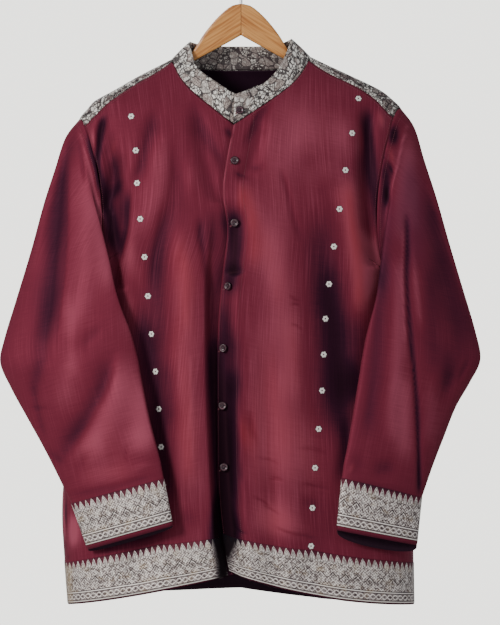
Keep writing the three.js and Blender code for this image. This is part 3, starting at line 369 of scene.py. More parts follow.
# Columns as above: the fourth and fifth are painted highlight and painted shade, and their warmth.
sleeveCreases = {
    "right": {
        "front": [
            (4, 17.2, 8.2, -0.62, -0.25, -242, -222, -247, -279, -252, -336, -257, -393, -262, -451, -268, -496,
             -278, -560),
            (1.2, 20.6, 2.1, -0.45, -0.1, -237, -252, -240, -318, -241, -383, -244, -435, -249, -469, -253, -508,
             -259, -547),
            (0, 13.7, 13.7, -0.25, 0, -232, -210, -234, -245, -232, -286),
            (-2.5, 19.4, 18.3, 0.32, 0, -218, -252, -213, -313, -214, -382, -218, -451, -225, -519),
            (-0.8, 13.7, 9.2, 0.15, 0, -195, -350, -186, -405, -182, -462),
            (-1, 2.7, 2.3, 0.35, 0, -229, -223, -222, -252, -213, -288),
            (1.4, 2.7, 2.7, -0.4, 0, -227, -233, -220, -272, -217, -307),
            (2, 3.7, 7.8, -1.1, -0.2, -216, -225, -207, -263, -200, -290, -194, -334),
            (0, 13.7, 11.4, 0.35, 0, -209, -304, -195, -364, -186, -416, -182, -474),
            (-0.8, 1.8, 1.6, 0.45, 0, -226, -221, -218, -252, -208, -288, -199, -323, -191, -357, -179, -401),
            (-1, 11.4, 11.4, 0.15, 0, -264, -279, -279, -359, -298, -439),
            (1.5, 7.8, 5.9, -0.28, 0, -184, -496, -204, -515, -225, -538),
            (4, 15.1, 6.4, -0.62, -0.1, -172, -526, -182, -565, -193, -594, -209, -624, -225, -649, -241, -674,
             -258, -702),
            (1, 11.4, 5.5, -0.25, 0, -204, -622, -223, -649, -241, -672),
            (-2.5, 13.7, 20.6, 0.5, 0.05, -166, -526, -171, -592, -185, -626, -203, -663, -232, -700),
            (0, 29.7, 20.6, 0.3, 0.1, -237, -631, -195, -677, -172, -700),
            (0, 16, 13.7, 0.35, 0.15, -237, -718, -184, -704, -127, -693),
            (0, 13.7, 13.7, 0.35, 0.1, -154, -451, -150, -496, -140, -535),
            (0, 25.2, 29.7, 0.4, 0.05, -150, -521, -142, -604, -138, -690),
            (0, 11.4, 13.7, 0.4, 0, -239, -446, -235, -496, -239, -547),
            (2.6, 12.8, 7.3, -0.5, -0.2, -270, -521, -275, -549, -282, -576, -284, -613),
            (-2, 19.4, 18.3, 0.3, 0, -239, -549, -241, -592, -257, -631),
            (0, 12.8, 13.7, 0.4, 0, -235, -521, -234, -553, -239, -583),
            (0, 25.2, 20.6, 0.4, 0.05, -161, -636, -138, -663, -127, -684),
            (1.6, 4.1, 4.1, -0.35, 0, -289, -572, -280, -622, -268, -663),
            (1.4, 5.5, 4.6, -0.3, 0, -269, -666, -255, -684, -234, -694),
            (1.2, 5, 5, -0.22, 0, -200, -668, -218, -686, -227, -713),
            (0.8, 1.8, 1.8, -0.25, 0, -158, -661, -158, -677, -157, -695),
            (-1.6, 18.3, 13.7, 0.4, 0, -131, -549, -126, -626, -131, -695),
            (1, 8.2, 4.1, -0.35, 0, -246, -733, -195, -727, -150, -715, -107, -704),
            (-1, 3.2, 3.2, 0.25, 0, -154, -703, -136, -695, -115, -690),
            (1, 3.2, 2.7, -0.25, 0, -298, -610, -280, -615, -257, -610),
        ],
        "back": [
            (5, 13, 12, -0.65, 0, -232, -260, -240, -350, -256, -450, -266, -520),
            (-3, 10, 10, 0.39, 0, -262, -320, -280, -420, -300, -500),
            (3, 10, 10, -0.39, 0, -206, -300, -206, -400, -206, -500),
            (3.4, 8, 9, -0.44, 0, -306, -548, -270, -570, -220, -572),
            (2.6, 8, 8, -0.34, 0, -286, -590, -246, -606, -206, -600),
            (3, 10, 10, -0.39, 0, -190, -600, -186, -680, -164, -770),
            (-2.6, 10, 10, 0.34, 0, -232, -620, -220, -700, -196, -770),
        ],
    },
    "left": {
        "front": [
            (3, 9.2, 5.9, -1.25, -0.15, 216, -215, 212, -238, 214, -261),
            (-1, 4.1, 3.2, 0.25, 0.4, 204, -245, 209, -268, 213, -288),
            (1, 1.6, 1.6, -0.9, 0, 200, -224, 198, -252, 197, -281),
            (1.5, 3.7, 3, -0.85, 0, 197, -270, 206, -279, 211, -300),
            (1.5, 4.1, 2.7, -0.9, 0, 200, -300, 203, -339),
            (1.2, 6.9, 6.4, -1, -0.1, 195, -263, 200, -290, 201, -318, 200, -350),
            (-1, 1.6, 1.6, 0.5, 0, 235, -215, 225, -240, 218, -272, 211, -300, 204, -332, 197, -366, 188, -409),
            (-2, 16, 15.1, 0.35, -0.2, 233, -217, 230, -268, 226, -313, 219, -359, 217, -407),
            (0, 20.6, 20.6, 0, -0.35, 232, -245, 238, -313, 241, -382, 243, -451),
            (3.5, 18.3, 43.5, -0.6, -0.2, 250, -272, 263, -336, 273, -382, 285, -428, 296, -474, 303, -519, 296, -599),
            (3, 2.1, 4.6, -1, -0.3, 229, -341, 229, -393, 228, -428, 230, -474, 233, -519, 238, -565, 242, -622,
             244, -679, 245, -743),
            (0, 2.7, 1.1, 0.35, 0.05, 225, -359, 224, -405, 223, -439, 225, -485, 228, -533),
            (0, 8.2, 11.4, 0.25, -0.05, 241, -290, 242, -336, 245, -393),
            (0, 14.6, 18.3, -0.45, -0.05, 257, -382, 261, -451, 264, -508, 266, -588),
            (0, 3.7, 9.2, 0.25, 0, 238, -405, 241, -462, 245, -519),
            (0, 9.2, 13.7, -0.5, -0.3, 195, -304, 198, -359, 193, -416, 189, -474),
            (-1, 1.8, 6.4, 0.25, 0, 236, -382, 239, -428, 245, -474, 250, -519),
            (2, 9.6, 14.2, -0.4, -0.3, 198, -391, 192, -451, 189, -496, 186, -535, 181, -588, 170, -670),
            (-2, 10.1, 12.4, 0.45, -0.15, 217, -391, 218, -474, 216, -542, 209, -611, 213, -679),
            (0, 11.4, 11.4, 0.5, -0.05, 224, -554, 226, -634, 225, -702),
            (0, 11.4, 13.7, -0.4, 0, 287, -515, 285, -554, 276, -611),
            (-1, 6.9, 9.2, 0.12, 0.25, 273, -345, 296, -416, 317, -496),
            (-1.4, 10.1, 12.4, 0.25, -0.1, 262, -560, 262, -622, 258, -684),
            (-1, 3.7, 3.7, 0.3, 0.3, 159, -686, 154, -693, 147, -709),
            (1.6, 10.1, 10.1, -0.45, 0, 177, -709, 198, -696, 216, -708),
            (1, 7.8, 7.8, -0.25, 0, 159, -668, 161, -690, 154, -713),
            (1, 6.9, 3.7, -0.35, 0, 138, -716, 184, -721, 218, -729, 250, -739),
            (2, 10.1, 10.1, -0.3, 0, 303, -544, 287, -576, 276, -615),
            (1, 3.7, 3.7, -0.28, 0, 319, -539, 308, -560, 296, -585),
            (0, 10.1, 10.1, 0.28, 0, 233, -236, 233, -290, 235, -382),
            (0, 11.4, 18.3, -0.25, 0, 255, -290, 262, -336, 273, -387),
        ],
        "back": [
            (5, 12, 13, -0.65, 0, 232, -260, 240, -350, 252, -450, 262, -520),
            (-3, 10, 10, 0.39, 0, 262, -320, 278, -420, 296, -500),
            (3, 10, 10, -0.39, 0, 206, -300, 206, -400, 208, -500),
            (3.2, 9, 8, -0.42, 0, 304, -548, 270, -568, 224, -570),
            (2.6, 8, 8, -0.34, 0, 284, -588, 248, -604, 210, -600),
            (3, 10, 10, -0.39, 0, 200, -600, 204, -690, 206, -770),
            (-2.6, 10, 10, 0.34, 0, 240, -620, 236, -700, 232, -770),
        ],
    },
}


def smoothLine(points, steps=6):
    ends = np.concatenate([2 * points[:1] - points[1:2], points, 2 * points[-1:] - points[-2:-1]])
    a, b, c, d = ends[:-3, None], ends[1:-2, None], ends[2:-1, None], ends[3:, None]
    t = (np.arange(steps) / steps)[None, :, None]
    line = 0.5 * (2 * b + (c - a) * t + (2 * a - 5 * b + 4 * c - d) * t**2 + (3 * b - a - 3 * c + d) * t**3)
    return np.concatenate([line.reshape(-1, 2), points[-1:]])


# How far a crease takes to die out at its ends, how far beside it counts, how sharply its sides end, and how much its
# width and depth swing along it.
creaseLook = {"fade": 14, "reach": 2.4, "edge": 1.9, "widthSwing": 0.12, "depthSwing": 0.14}


def creaseField(creases, x, z):  # depth, painted light and shade, and its warmth, of all the creases at each place
    total = np.zeros((3,) + x.shape)
    for number, (depth, left, right, tone, warm, *points) in enumerate(creases):
        line = smoothLine(np.reshape(points, (-1, 2)))
        reach = creaseLook["reach"] * max(left, right)
        (lowX, lowZ), (highX, highZ) = line.min(0) - reach, line.max(0) + reach
        inside = (x > lowX) & (x < highX) & (z > lowZ) & (z < highZ)
        if not inside.any():
            continue
        at = np.stack([x[inside], z[inside]], -1)
        step = np.diff(line, axis=0)
        length = np.linalg.norm(step, axis=1)
        run = np.concatenate([[0], np.cumsum(length)])
        best = np.full(len(at), 1e9)
        way, sideways = np.zeros(len(at)), np.zeros(len(at))
        for i in range(len(step)):
            offset = at - line[i]
            t = np.clip((offset @ step[i]) / length[i] ** 2, 0, 1)
            away = offset - t[:, None] * step[i]
            distance = np.linalg.norm(away, axis=1)
            nearer = distance < best
            best = np.where(nearer, distance, best)
            way = np.where(nearer, run[i] + t * length[i], way)
            sideways = np.where(nearer, step[i, 0] * away[:, 1] - step[i, 1] * away[:, 0], sideways)
        fade = min(creaseLook["fade"] + reach, 0.48 * run[-1])
        taper = smoothStep(way / fade) * smoothStep((run[-1] - way) / fade)
        width = mix(left, right, smoothStep(sideways / np.maximum(best, 1e-6) * 0.5 + 0.5))
        width = width * (1 + creaseLook["widthSwing"] * np.sin(way * 0.06 + number))
        uneven = 1 + creaseLook["depthSwing"] * np.sin(way * 0.05 + number * 2.1)
        shape = taper * np.exp(-np.abs(best / width) ** creaseLook["edge"])
        total[:, inside] += np.stack([depth * uneven * shape, tone * shape, warm * shape])
    return total


# Grids of points. Rows run down the cloth and columns to the viewer's right, so normals face outwards.
fineness = {"armhole": 66, "side": 150, "band": 18, "front": 2.6, "back": 4.2, "yokeFront": 12, "yokeBack": 32,
            "yokeColumns": 44, "yokeNeck": 3.2, "sleeveTurns": 132, "sleeveRow": 4.4, "collarTurns": 176,
            "collarRows": 14, "collarEnd": 13}
bandTop, bandFoot = form["hemZ"] + form["hemBandHeight"], form["hemZ"] + form["hemBandMargin"]
bandRows = slice(-fineness["band"] - 2, -1)


def refine(values, spacing):  # the same stations, with evenly spaced ones between them
    values = np.asarray(values, float)
    parts = [np.linspace(a, b, max(1, round(abs(b - a) / spacing)) + 1)[:-1] for a, b in zip(values[:-1], values[1:])]
    return np.append(np.concatenate(parts), values[-1])


def sideEnds(side, degrees):  # where the rows of a front or of the back end, down the armhole and the side seam
    heights = np.concatenate([
        np.linspace(form["armpitZ"], bandTop, fineness["side"] + 1)[1:],
        np.linspace(bandTop, bandFoot, fineness["band"] + 1)[1:], [form["hemZ"]],
    ])
    seam = np.stack([sides[side]["sign"] * halfWidth(side, heights), heights * 0, heights], -1)
    return np.concatenate([armholePoint(side, degrees), seam])


def armholeDegrees(seam):  # evenly spaced in height down to the armpit
    top = (1 - math.cos(math.radians(seam))) / 2
    return np.degrees(np.arccos(1 - 2 * np.linspace(top, 1, fineness["armhole"] + 1)))


def wayDown(ends):
    return ((ends[:, 2] - ends[0, 2]) / (form["hemZ"] - ends[0, 2]))[:, None]


frontEnds = {side: sideEnds(side, armholeDegrees(seams[side]["front"])) for side in sides}
backEnds = {side: sideEnds(side, 360 - armholeDegrees(seams[side]["back"])) for side in sides}

# The left front's edge down the shirt, then where the columns of the fronts lie beside it.
frontEdge = {
    "z": [-223, -268, -315, -369, -425, -507, -700, -790, -845], "x": [-10, -19, -25, -19, -25, -32, -33, -26, -15],
    "lastOnNeck": 93.5, "besideEdge": (-3, -6), "steadyFrom": -9, "steadyTo": -46, "lapTurn": 7,
}
# How much painted shade darkens the drape and the fold of the hem, and how much a painted highlight lightens the front
# edge, over what width.
panelPaintedLight = {"drape": 0.03, "backDrape": 0.1, "hemFold": 2, "edgeLight": 0.6, "edgeWidth": 1.6}


def frontEdgeX(z):
    return readTable(frontEdge, "z", "x", z)


def frontPlaces(side, offsets, shares):
    # Where the cloth's points lie seen from the front; offsets run from the front edge, shares on to the side.
    ends, sign = frontEnds[side], sides[side]["sign"]
    lapDown = (wayDown(frontEnds["right"]) + wayDown(frontEnds["left"])) / 2
    down = mix(lapDown, wayDown(ends), shares)
    topX = mix(form["frontNeckX"] + offsets, ends[0, 0], shares)
    bottomX = mix(frontEdgeX(form["hemZ"]) + offsets, sign * halfWidth(side, form["hemZ"]), shares)
    onNeck = np.abs(topX) < form["neckReach"] - 0.01
    topZ = np.where(onNeck, frontNeckHeight(topX), yokeFrontZ(side, np.abs(topX)))
    z = mix(topZ - form["yokeSeamGap"], hemHeight(side, bottomX), down)
    return mix(frontEdgeX(z) + offsets, ends[:, :1], shares), z


def columnShares(side, startOffset, spacing):
    # Columns end on the neck seam, then spread from its corner to the side.
    start, end, sign = form["frontNeckX"] + startOffset, frontEnds[side][0, 0], sides[side]["sign"]
    onNeck = refine([start, sign * frontEdge["lastOnNeck"]], spacing)[1:]
    beyond = refine([sign * form["neckReach"], end], spacing)
    return (np.concatenate([onNeck, beyond]) - start) / (end - start)


def frontGrid(side):
    # The right front passes behind the left one where they lap.
    spacing, steadyTo = fineness["front"], frontEdge["steadyTo"]
    lap = refine([0, form["underlapWidth"]], spacing)
    if side == "left":
        shares = columnShares("left", form["underlapWidth"], spacing)
        offsets = np.concatenate([lap, shares * 0 + form["underlapWidth"]])
        shares = np.concatenate([lap * 0, shares])
        behind = offsets * 0
    else:
        steady = np.append(frontEdge["besideEdge"], refine([frontEdge["steadyFrom"], steadyTo], spacing))
        shares = columnShares("right", steadyTo, spacing)
        offsets = np.concatenate([lap[::-1], steady, shares * 0 + steadyTo])
        shares = np.concatenate([lap * 0, steady * 0, shares])
        behind = form["lapStep"] * smoothStep((offsets + frontEdge["lapTurn"]) / frontEdge["lapTurn"])
    x, z = frontPlaces(side, offsets, shares)
    relief, tone, warm = creaseField(frontCreases, x, z)
    fade = seamFade(x, z)
    y = np.minimum(torsoDepth("front", x, z) + relief * fade, -form["sideSeamGap"] / 2) + behind
    y[fineness["armhole"]:, -1] = -form["sideSeamGap"] / 2
    # Painted shade darkens the drape, the deep fold and the hem's fold. On the left front a painted highlight lines its
    # edge.
    shade = tone - (drapeDepth(frontDrape, x, z) + troughDepth(x, z)) * fade * panelPaintedLight["drape"]
    shade[-1] -= panelPaintedLight["hemFold"]
    if side == "left":
        shade += panelPaintedLight["edgeLight"] * np.exp(-(((offsets + shares * 99) / panelPaintedLight["edgeWidth"]) ** 2))
    grid, looks = np.stack([x, y, z], -1), np.stack([shade, warm], -1)
    return (grid[:, ::-1], looks[:, ::-1]) if side == "right" else (grid, looks)


backColumns = {"span": 470, "swing": 0.86}  # its length across, and the part of a half turn its columns spread over


def backGrid():
    swing = np.linspace(-0.5, 0.5, round(backColumns["span"] / fineness["back"]) + 1) * math.pi * backColumns["swing"]
    share = (np.sin(swing) / math.sin(math.pi * backColumns["swing"] / 2) + 1) / 2
    right, left = backEnds["right"], backEnds["left"]
    down = mix(wayDown(right), wayDown(left), share)
    bottomX = mix(-halfWidth("right", form["hemZ"]), halfWidth("left", form["hemZ"]), share)
    z = mix(form["yokeSeamZ"] - form["backSeamGap"], hemHeight("back", bottomX), down)
    x = mix(right[:, :1], left[:, :1], share)
    relief, tone, warm = creaseField(backCreases, x, z)
    fade = seamFade(x, z)
    y = np.maximum(torsoDepth("back", x, z) - relief * fade, form["sideSeamGap"] / 2)
    y[fineness["armhole"]:, [0, -1]] = form["sideSeamGap"] / 2
    # Painted shade darkens the back's drape and the hem's fold.
    shade = tone - drapeDepth(backDrape, x, z) * fade * panelPaintedLight["backDrape"]
    shade[-1] -= panelPaintedLight["hemFold"]
    return np.stack([x, y, z], -1)[:, ::-1], np.stack([shade, warm], -1)[:, ::-1]


# How the rows spread from the shoulder line, where the columns behind the neck begin, and how much of their way down
# the front rows take up in the middle and at the side.
yokeCloth = {"spread": 1.5, "neckColumns": 91, "middleTurn": 0.32, "sideTurn": 0.12}


def yokeGrid():
    # In each column the root of the drop from the shoulder line runs from the front seam over to the back one.
    steps = {"front": np.linspace(0, 1, fineness["yokeFront"] + 1)[::-1],
             "back": np.linspace(0, 1, fineness["yokeBack"] + 1)[1:]}
    halves = []
    for side in ("right", "left"):
        sign = sides[side]["sign"]
        frontTurn, backTurn = (seams[side][face] * steps[face] ** yokeCloth["spread"] for face in ("front", "back"))
        degrees = np.concatenate([frontTurn, 360 - backTurn])
        inFront = (np.arange(len(degrees)) < fineness["yokeFront"])[:, None]
        at = armholePoint(side, degrees % 360)

        def drop(reach, z):
            return np.sqrt(np.maximum(0, shoulderLine(side, reach) - z))

        root = drop(np.abs(at[:, 0]), at[:, 2])
        share = np.where(inFront[:, 0], root / root[0], root / root[-1])[:, None]
        x = mix(sign * form["neckReach"], at[:, :1], refine([0, 1], 1 / fineness["yokeColumns"])[::-1])
        reach = np.abs(x)
        fall = drop(reach, np.where(inFront, yokeFrontZ(side, reach), form["yokeSeamZ"])) * share
        beside = onTorso(inFront, x, shoulderLine(side, reach) - fall * fall)
        reach = refine([yokeCloth["neckColumns"], 0], fineness["yokeNeck"])[None]
        turn = mix(yokeCloth["middleTurn"], yokeCloth["sideTurn"], reach / form["neckReach"])
        down = np.where(inFront, turn * (1 - share), mix(turn, 1, share))
        reach = np.broadcast_to(reach, down.shape)
        fall = mix(drop(reach, backNeckHeight(side, reach)), drop(reach, form["yokeSeamZ"]), down)
        behind = onTorso(False, sign * reach, shoulderLine(side, reach) - fall * fall)
        halves.append(np.concatenate([beside, behind], 1))
    right, left = halves
    whole = np.concatenate([right[:, :-1], (right[:, -1:] + left[:, -1:]) / 2, left[:, -2::-1]], 1)
    return whole[:, ::-1]


# The sleeves ring by ring: outer line x, z, y; under line x, z, y; front bulge, its swing in, back bulge.
sleeveRings = {
    "right": [
        (243, -240, -3, 218, -442, -10, 30, 30, 44), (258, -285, -8, 208, -446, -32, 26, 40, 46),
        (273, -332, -13, 196, -453, -52, 22, 42, 46), (290, -395, -18, 176, -471, -66, 20, 30, 42),
        (311, -465, -23, 155, -504, -75, 19, 12, 34), (328, -522, -27, 142.5, -543, -80, 18, 0, 27),
        (333, -552, -30, 138, -567, -84, 18, 0, 25), (318, -587, -34, 133, -592, -88, 17, 0, 23),
        (296, -627, -40, 126, -626, -92, 16, 0, 20), (272, -670, -47, 117, -662, -96, 15, 0, 17),
        (252, -709, -53, 110, -690, -99, 14, 0, 15), (234, -746, -58, 106, -711, -101, 14, 0, 14),
        (213, -804, -62, 94.5, -770, -103, 14, 0, 13), (211, -810, -62, 93, -776, -103, 14, 0, 13),
    ],
    "left": [
        (240, -226, -3, 218, -442, -10, 30, 26, 44), (254, -272, -8, 209, -447, -32, 26, 30, 46),
        (271, -325, -13, 199, -456, -50, 22, 28, 46), (287, -382, -18, 186, -476, -62, 20, 16, 42),
        (307, -450, -23, 174, -509, -69, 19, 6, 34), (325, -512, -27, 166.5, -545, -74, 18, 0, 27),
        (331, -548, -30, 163, -568, -78, 18, 0, 25), (316, -580, -34, 158, -598, -82, 17, 0, 23),
        (297, -613, -40, 152, -634, -86, 16, 0, 20), (280, -655, -47, 146, -668, -90, 15, 0, 17),
        (263, -699, -53, 141, -692, -93, 14, 0, 15), (249.5, -738, -58, 138.5, -710, -95, 14, 0, 14),
        (243, -798, -62, 132, -776, -97, 14, 0, 13), (242.5, -804, -62, 131.3, -782, -97, 14, 0, 13),
    ],
}
# The border lies between two of the rings, and the last rings are joined by straight cloth, which painted shade
# darkens.
sleeveCloth = {"bandTop": 12, "bandFoot": 13, "straight": 3, "firstTurn": 205, "settleRows": 8, "paintedFootShade": 0.5,
               "cuffDrop": {"right": 6, "left": 15}, "bodyGap": 4, "bodyShare": 1.04, "belowArmpit": 12}


def clearOfTorso(side, points):  # where the sleeve hangs before the body it keeps clear of the front
    x, z = points[..., 0], points[..., 2]
    beforeBody = np.abs(x) / halfWidth(side, z) < sleeveCloth["bodyShare"]
    near = beforeBody & (z <= form["armpitZ"] + sleeveCloth["belowArmpit"])
    limit = torsoDepth("front", x, z) - sleeveCloth["bodyGap"]
    points[..., 1] = np.where(near, np.minimum(points[..., 1], limit), points[..., 1])
    return points


def sleeveRing(side, ring, degrees):
    outerX, outerZ, outerY, underX, underZ, underY, front, frontX, back = ring
    sign, turn = sides[side]["sign"], np.radians(degrees)
    toward = ((1 + np.cos(turn)) / 2)[:, None]
    point = mix(np.array([sign * underX, underY, underZ]), np.array([sign * outerX, outerY, outerZ]), toward)
    out = np.sin(turn)
    point[:, 1] -= np.where(out > 0, front, back) * out
    point[:, 0] -= sign * frontX * np.maximum(out, 0)
    return clearOfTorso(side, point)


def ringGap(a, b):
    return max(np.linalg.norm(b - a, axis=1).mean(), 1e-6)


def sleeveGrid(side):
    count = fineness["sleeveTurns"]
    degrees = sleeveCloth["firstTurn"] + np.arange(count) * 360 / count
    seam = armholePoint(side, degrees % 360)
    rings = [sleeveRing(side, ring, degrees) for ring in sleeveRings[side]]
    toward = rings[0] - seam
    first = seam + toward / np.linalg.norm(toward, axis=1, keepdims=True) * form["armholeGap"]
    rings, last = [first] + rings, len(rings)
    rows, marks = [first], [0]
    for i in range(last):
        a, b = rings[i], rings[i + 1]
        gap, slopeA, slopeB = ringGap(a, b), b - a, b - a
        if 0 < i < last - sleeveCloth["straight"]:
            slopeA = (b - rings[i - 1]) * gap / (gap + ringGap(rings[i - 1], a))
        if i < last - sleeveCloth["straight"]:
            slopeB = (rings[i + 2] - a) * gap / (gap + ringGap(b, rings[i + 2]))
        for t in np.linspace(0, 1, max(1, round(gap / fineness["sleeveRow"])) + 1)[1:]:
            rows.append(curveBetween(a, b, slopeA, slopeB, t))
        marks.append(len(rows) - 1)
    grid = clearOfTorso(side, np.array(rows))
    grid[0] = first
    turn = np.radians(degrees)[None]
    x, z, row = grid[..., 0].copy(), grid[..., 2].copy(), np.arange(len(grid))
    front = creaseField(sleeveCreases[side]["front"], x, z) * smoothStep(np.sin(turn) * 3)
    back = creaseField(sleeveCreases[side]["back"], x, z) * smoothStep(-np.sin(turn) * 3)
    grid[..., 1] += (front[0] - back[0]) * smoothStep((row - 1) / sleeveCloth["settleRows"])[:, None]
    # The back of the cuff hangs lower than its front, so its dark mouth shows.
    bandStart = marks[sleeveCloth["bandTop"]]
    toMouth = smoothStep((row - bandStart) / (row[-1] - bandStart))[:, None]
    grid[..., 2] -= sleeveCloth["cuffDrop"][side] * toMouth * np.maximum(0, -np.sin(turn)) ** 0.7
    looks = np.stack([front[1] + back[1], front[2] + back[2]], -1)
    # Painted shade darkens the cloth below the cuff's border.
    looks[marks[sleeveCloth["bandFoot"]] + 1:, :, 0] -= sleeveCloth["paintedFootShade"]
    return (grid[:, ::-1], looks[:, ::-1], marks) if side == "left" else (grid, looks, marks)


# Past the middle of the front, at 180 degrees, the collar's end is tucked in behind its other end.
collarCloth = {"endTurn": 207, "tuckFrom": 171, "tuckOver": 9, "tuck": 1.8, "belly": 0.9}


def neckRing(degrees, ring):  # 0 degrees at the back, 180 at the front
    turn = np.radians(degrees)
    share, front, onRight = np.abs(np.sin(turn)), np.cos(turn) < 0, np.sin(turn) < 0
    reach, sideZ, linear, power = (np.where(onRight, ring["right"][key], ring["left"][key])
                                   for key in ("reach", "z", "linear", "power"))
    ends = np.where(onRight, -1, 1) * reach
    x = np.where(front, mix(ring["frontX"], ends, share), ends * share)
    rise = np.where(front, neckRise(share, linear, power), share**4)
    return x, mix(np.where(front, ring["frontZ"], ring["backZ"]), sideZ, rise), front


def collarGrid():
    # One band from the lapping end round the back of the neck to the tucked end.
    tucked = np.linspace(-180, -collarCloth["endTurn"], fineness["collarEnd"] + 1)[1:]
    degrees = np.append(np.linspace(180, -180, fineness["collarTurns"] + 1), tucked)
    seamX, seamZ, front = neckRing(degrees, neckSeam)
    edgeX, edgeZ, _ = neckRing(degrees, collarEdge)
    base = onTorso(front, seamX, seamZ)
    lean = np.where(front, collarEdge["frontLean"], collarEdge["backLean"])
    up = np.stack([edgeX, base[:, 1] * lean, edgeZ], -1) - base
    length = np.linalg.norm(up, axis=1, keepdims=True)
    shares = np.linspace(1, 0, fineness["collarRows"] + 1)[:, None, None]
    grid = base[None] + up[None] * mix(form["collarGap"] / length, 1, shares)
    middleY = -float(readTable(torsoSections, "z", "front", form["frontNeckZ"])) / 2
    outward = np.stack([grid[..., 0], grid[..., 1] - middleY, grid[..., 2] * 0], -1)
    outward /= np.linalg.norm(outward, axis=-1, keepdims=True)
    tuckIn = smoothStep((-collarCloth["tuckFrom"] - degrees) / collarCloth["tuckOver"])
    inward = (form["lapStep"] + collarCloth["tuck"]) * tuckIn
    belly = collarCloth["belly"] * np.sin(np.pi * shares[:, :, 0])
    return grid - outward * inward[None, :, None] + outward * belly[..., None]


# Shells: each grid gets an inner skin along its normals, and its rims are closed.
def gridNormals(grid, around):
    across = np.roll(grid, -1, 1) - np.roll(grid, 1, 1) if around else np.gradient(grid, axis=1)
    normal = np.cross(np.gradient(grid, axis=0), across)
    return normal / np.maximum(np.linalg.norm(normal, axis=-1, keepdims=True), 1e-9)


def clothLengths(grid, around):  # distances across and up the cloth, in metres
    closed = np.concatenate([grid, grid[:, :1]], 1) if around else grid
    u = np.cumsum(np.linalg.norm(np.diff(closed, axis=1), axis=-1), 1)
    u = np.concatenate([u[:, :1] * 0, u], 1)
    up = np.cumsum(np.linalg.norm(np.diff(closed, axis=0), axis=-1)[::-1], 0)[::-1]
    v = np.concatenate([up, up[:1] * 0], 0)
    return np.stack([u, v], -1) * metre


def evenLengths(grid, around=False):
    # As clothLengths, but alike in every row and every column, so that a pattern isn't sheared.
    lengths = clothLengths(grid, around)
    lengths[..., 0] = lengths[..., 0].mean(0)
    lengths[..., 1] = lengths[..., 1].mean(1, keepdims=True)
    return lengths


def straightLengths(grid, smooth=36):  # as clothLengths, but with the warp kept straight past the creases
    lengths = clothLengths(grid, False)
    x = grid[..., 0] * metre
    run = 1 if (x[:, -1] - x[:, 0]).mean() > 0 else -1
    reach = np.exp(-np.linspace(-2.4, 2.4, 2 * smooth + 1) ** 2)
    extra = np.pad(lengths[..., 0] - run * x, ((smooth, smooth), (0, 0)), "edge")
    extra = np.stack([np.convolve(column, reach / reach.sum(), "valid") for column in extra.T], 1)
    return np.stack([run * x + extra, lengths[..., 1]], -1)


def intoScene(obj):
    bpy.context.scene.collection.objects.link(obj)
    return obj


def meshOf(name, points, faces, attributes=None, edges=()):  # points in millimetres, and numbers kept at them
    mesh = bpy.data.meshes.new(name)
    mesh.from_pydata((np.asarray(points) * metre).tolist(), list(edges), faces)
    mesh.polygons.foreach_set("use_smooth", np.ones(len(mesh.polygons), bool))
    for key, values in (attributes or {}).items():
        mesh.attributes.new(key, "FLOAT", "POINT").data.foreach_set("value", np.asarray(values, float).ravel())
    return mesh


def addMesh(name, points, faces, materials, faceMaterials=None, flat=None, cornerUv=None, attributes=None):
    mesh = meshOf(name, points, faces, attributes)
    for material in materials:
        mesh.materials.append(material)
    smooth = np.ones(len(mesh.polygons), bool)
    if flat is not None:
        smooth[flat] = False
        mesh.polygons.foreach_set("use_smooth", smooth)
    if faceMaterials is not None:
        mesh.polygons.foreach_set("material_index", faceMaterials)
    if cornerUv is not None:
        mesh.uv_layers.new(name="UVMap").data.foreach_set("uv", np.asarray(cornerUv, float).ravel())
    mesh.validate()
    mesh.update()
    return intoScene(bpy.data.objects.new(name, mesh))


def shellCorners(outer, inner, around):
    # What lies at the corners of the outer skin's faces, the inner skin's, then those of the rims between them.
    def quads(a, b, c, d):
        return np.stack([a, b, c, d], -2).reshape(-1, 4, outer.shape[-1])

    def skin(at):
        return at[:-1, :-1], at[1:, :-1], at[1:, 1:], at[:-1, 1:]

    a, b, c, d = skin(inner)
    corners = [quads(*skin(outer)), quads(a, d, c, b),
               quads(outer[0, :-1], outer[0, 1:], inner[0, 1:], inner[0, :-1]),
               quads(outer[-1, :-1], inner[-1, :-1], inner[-1, 1:], outer[-1, 1:])]
    if not around:
        corners += [quads(outer[:-1, 0], inner[:-1, 0], inner[1:, 0], outer[1:, 0]),
                    quads(outer[:-1, -1], outer[1:, -1], inner[1:, -1], inner[:-1, -1])]
    return np.concatenate(corners)


def addShell(name, grid, wall, materials, lift=0, around=False, looks=None, uv=None, nodes=None):
    rows, columns = grid.shape[:2]
    normals = gridNormals(grid, around)
    outer, inner = grid + normals * lift, grid + normals * (lift - wall)
    index = np.arange(rows * columns).reshape(rows, columns, 1)
    ring = np.concatenate([index, index[:, :1]], 1) if around else index
    faces = shellCorners(ring, ring + rows * columns, around)[..., 0]
    uv = clothLengths(grid, around) if uv is None else uv
    skinFaces = (rows - 1) * (ring.shape[1] - 1)
    faceMaterials = np.zeros(len(faces), int)
    faceMaterials[skinFaces:2 * skinFaces] = len(materials) - 1
    # Each point keeps its painted light and shade and its warmth for the materials. The inner skin's painted light is
    # turned over.
    light, warm = np.zeros((2, rows * columns)) if looks is None else looks.reshape(-1, 2).T
    obj = addMesh(
        name, np.concatenate([outer.reshape(-1, 3), inner.reshape(-1, 3)]), faces.tolist(), materials, faceMaterials,
        np.arange(2 * skinFaces, len(faces)), shellCorners(uv, uv, around),
        {"shade": np.concatenate([light, -light]), "warm": np.concatenate([warm, warm * 0])},
    )
    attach(obj, "root")
    if nodes:
        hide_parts(*nodes)
    return obj


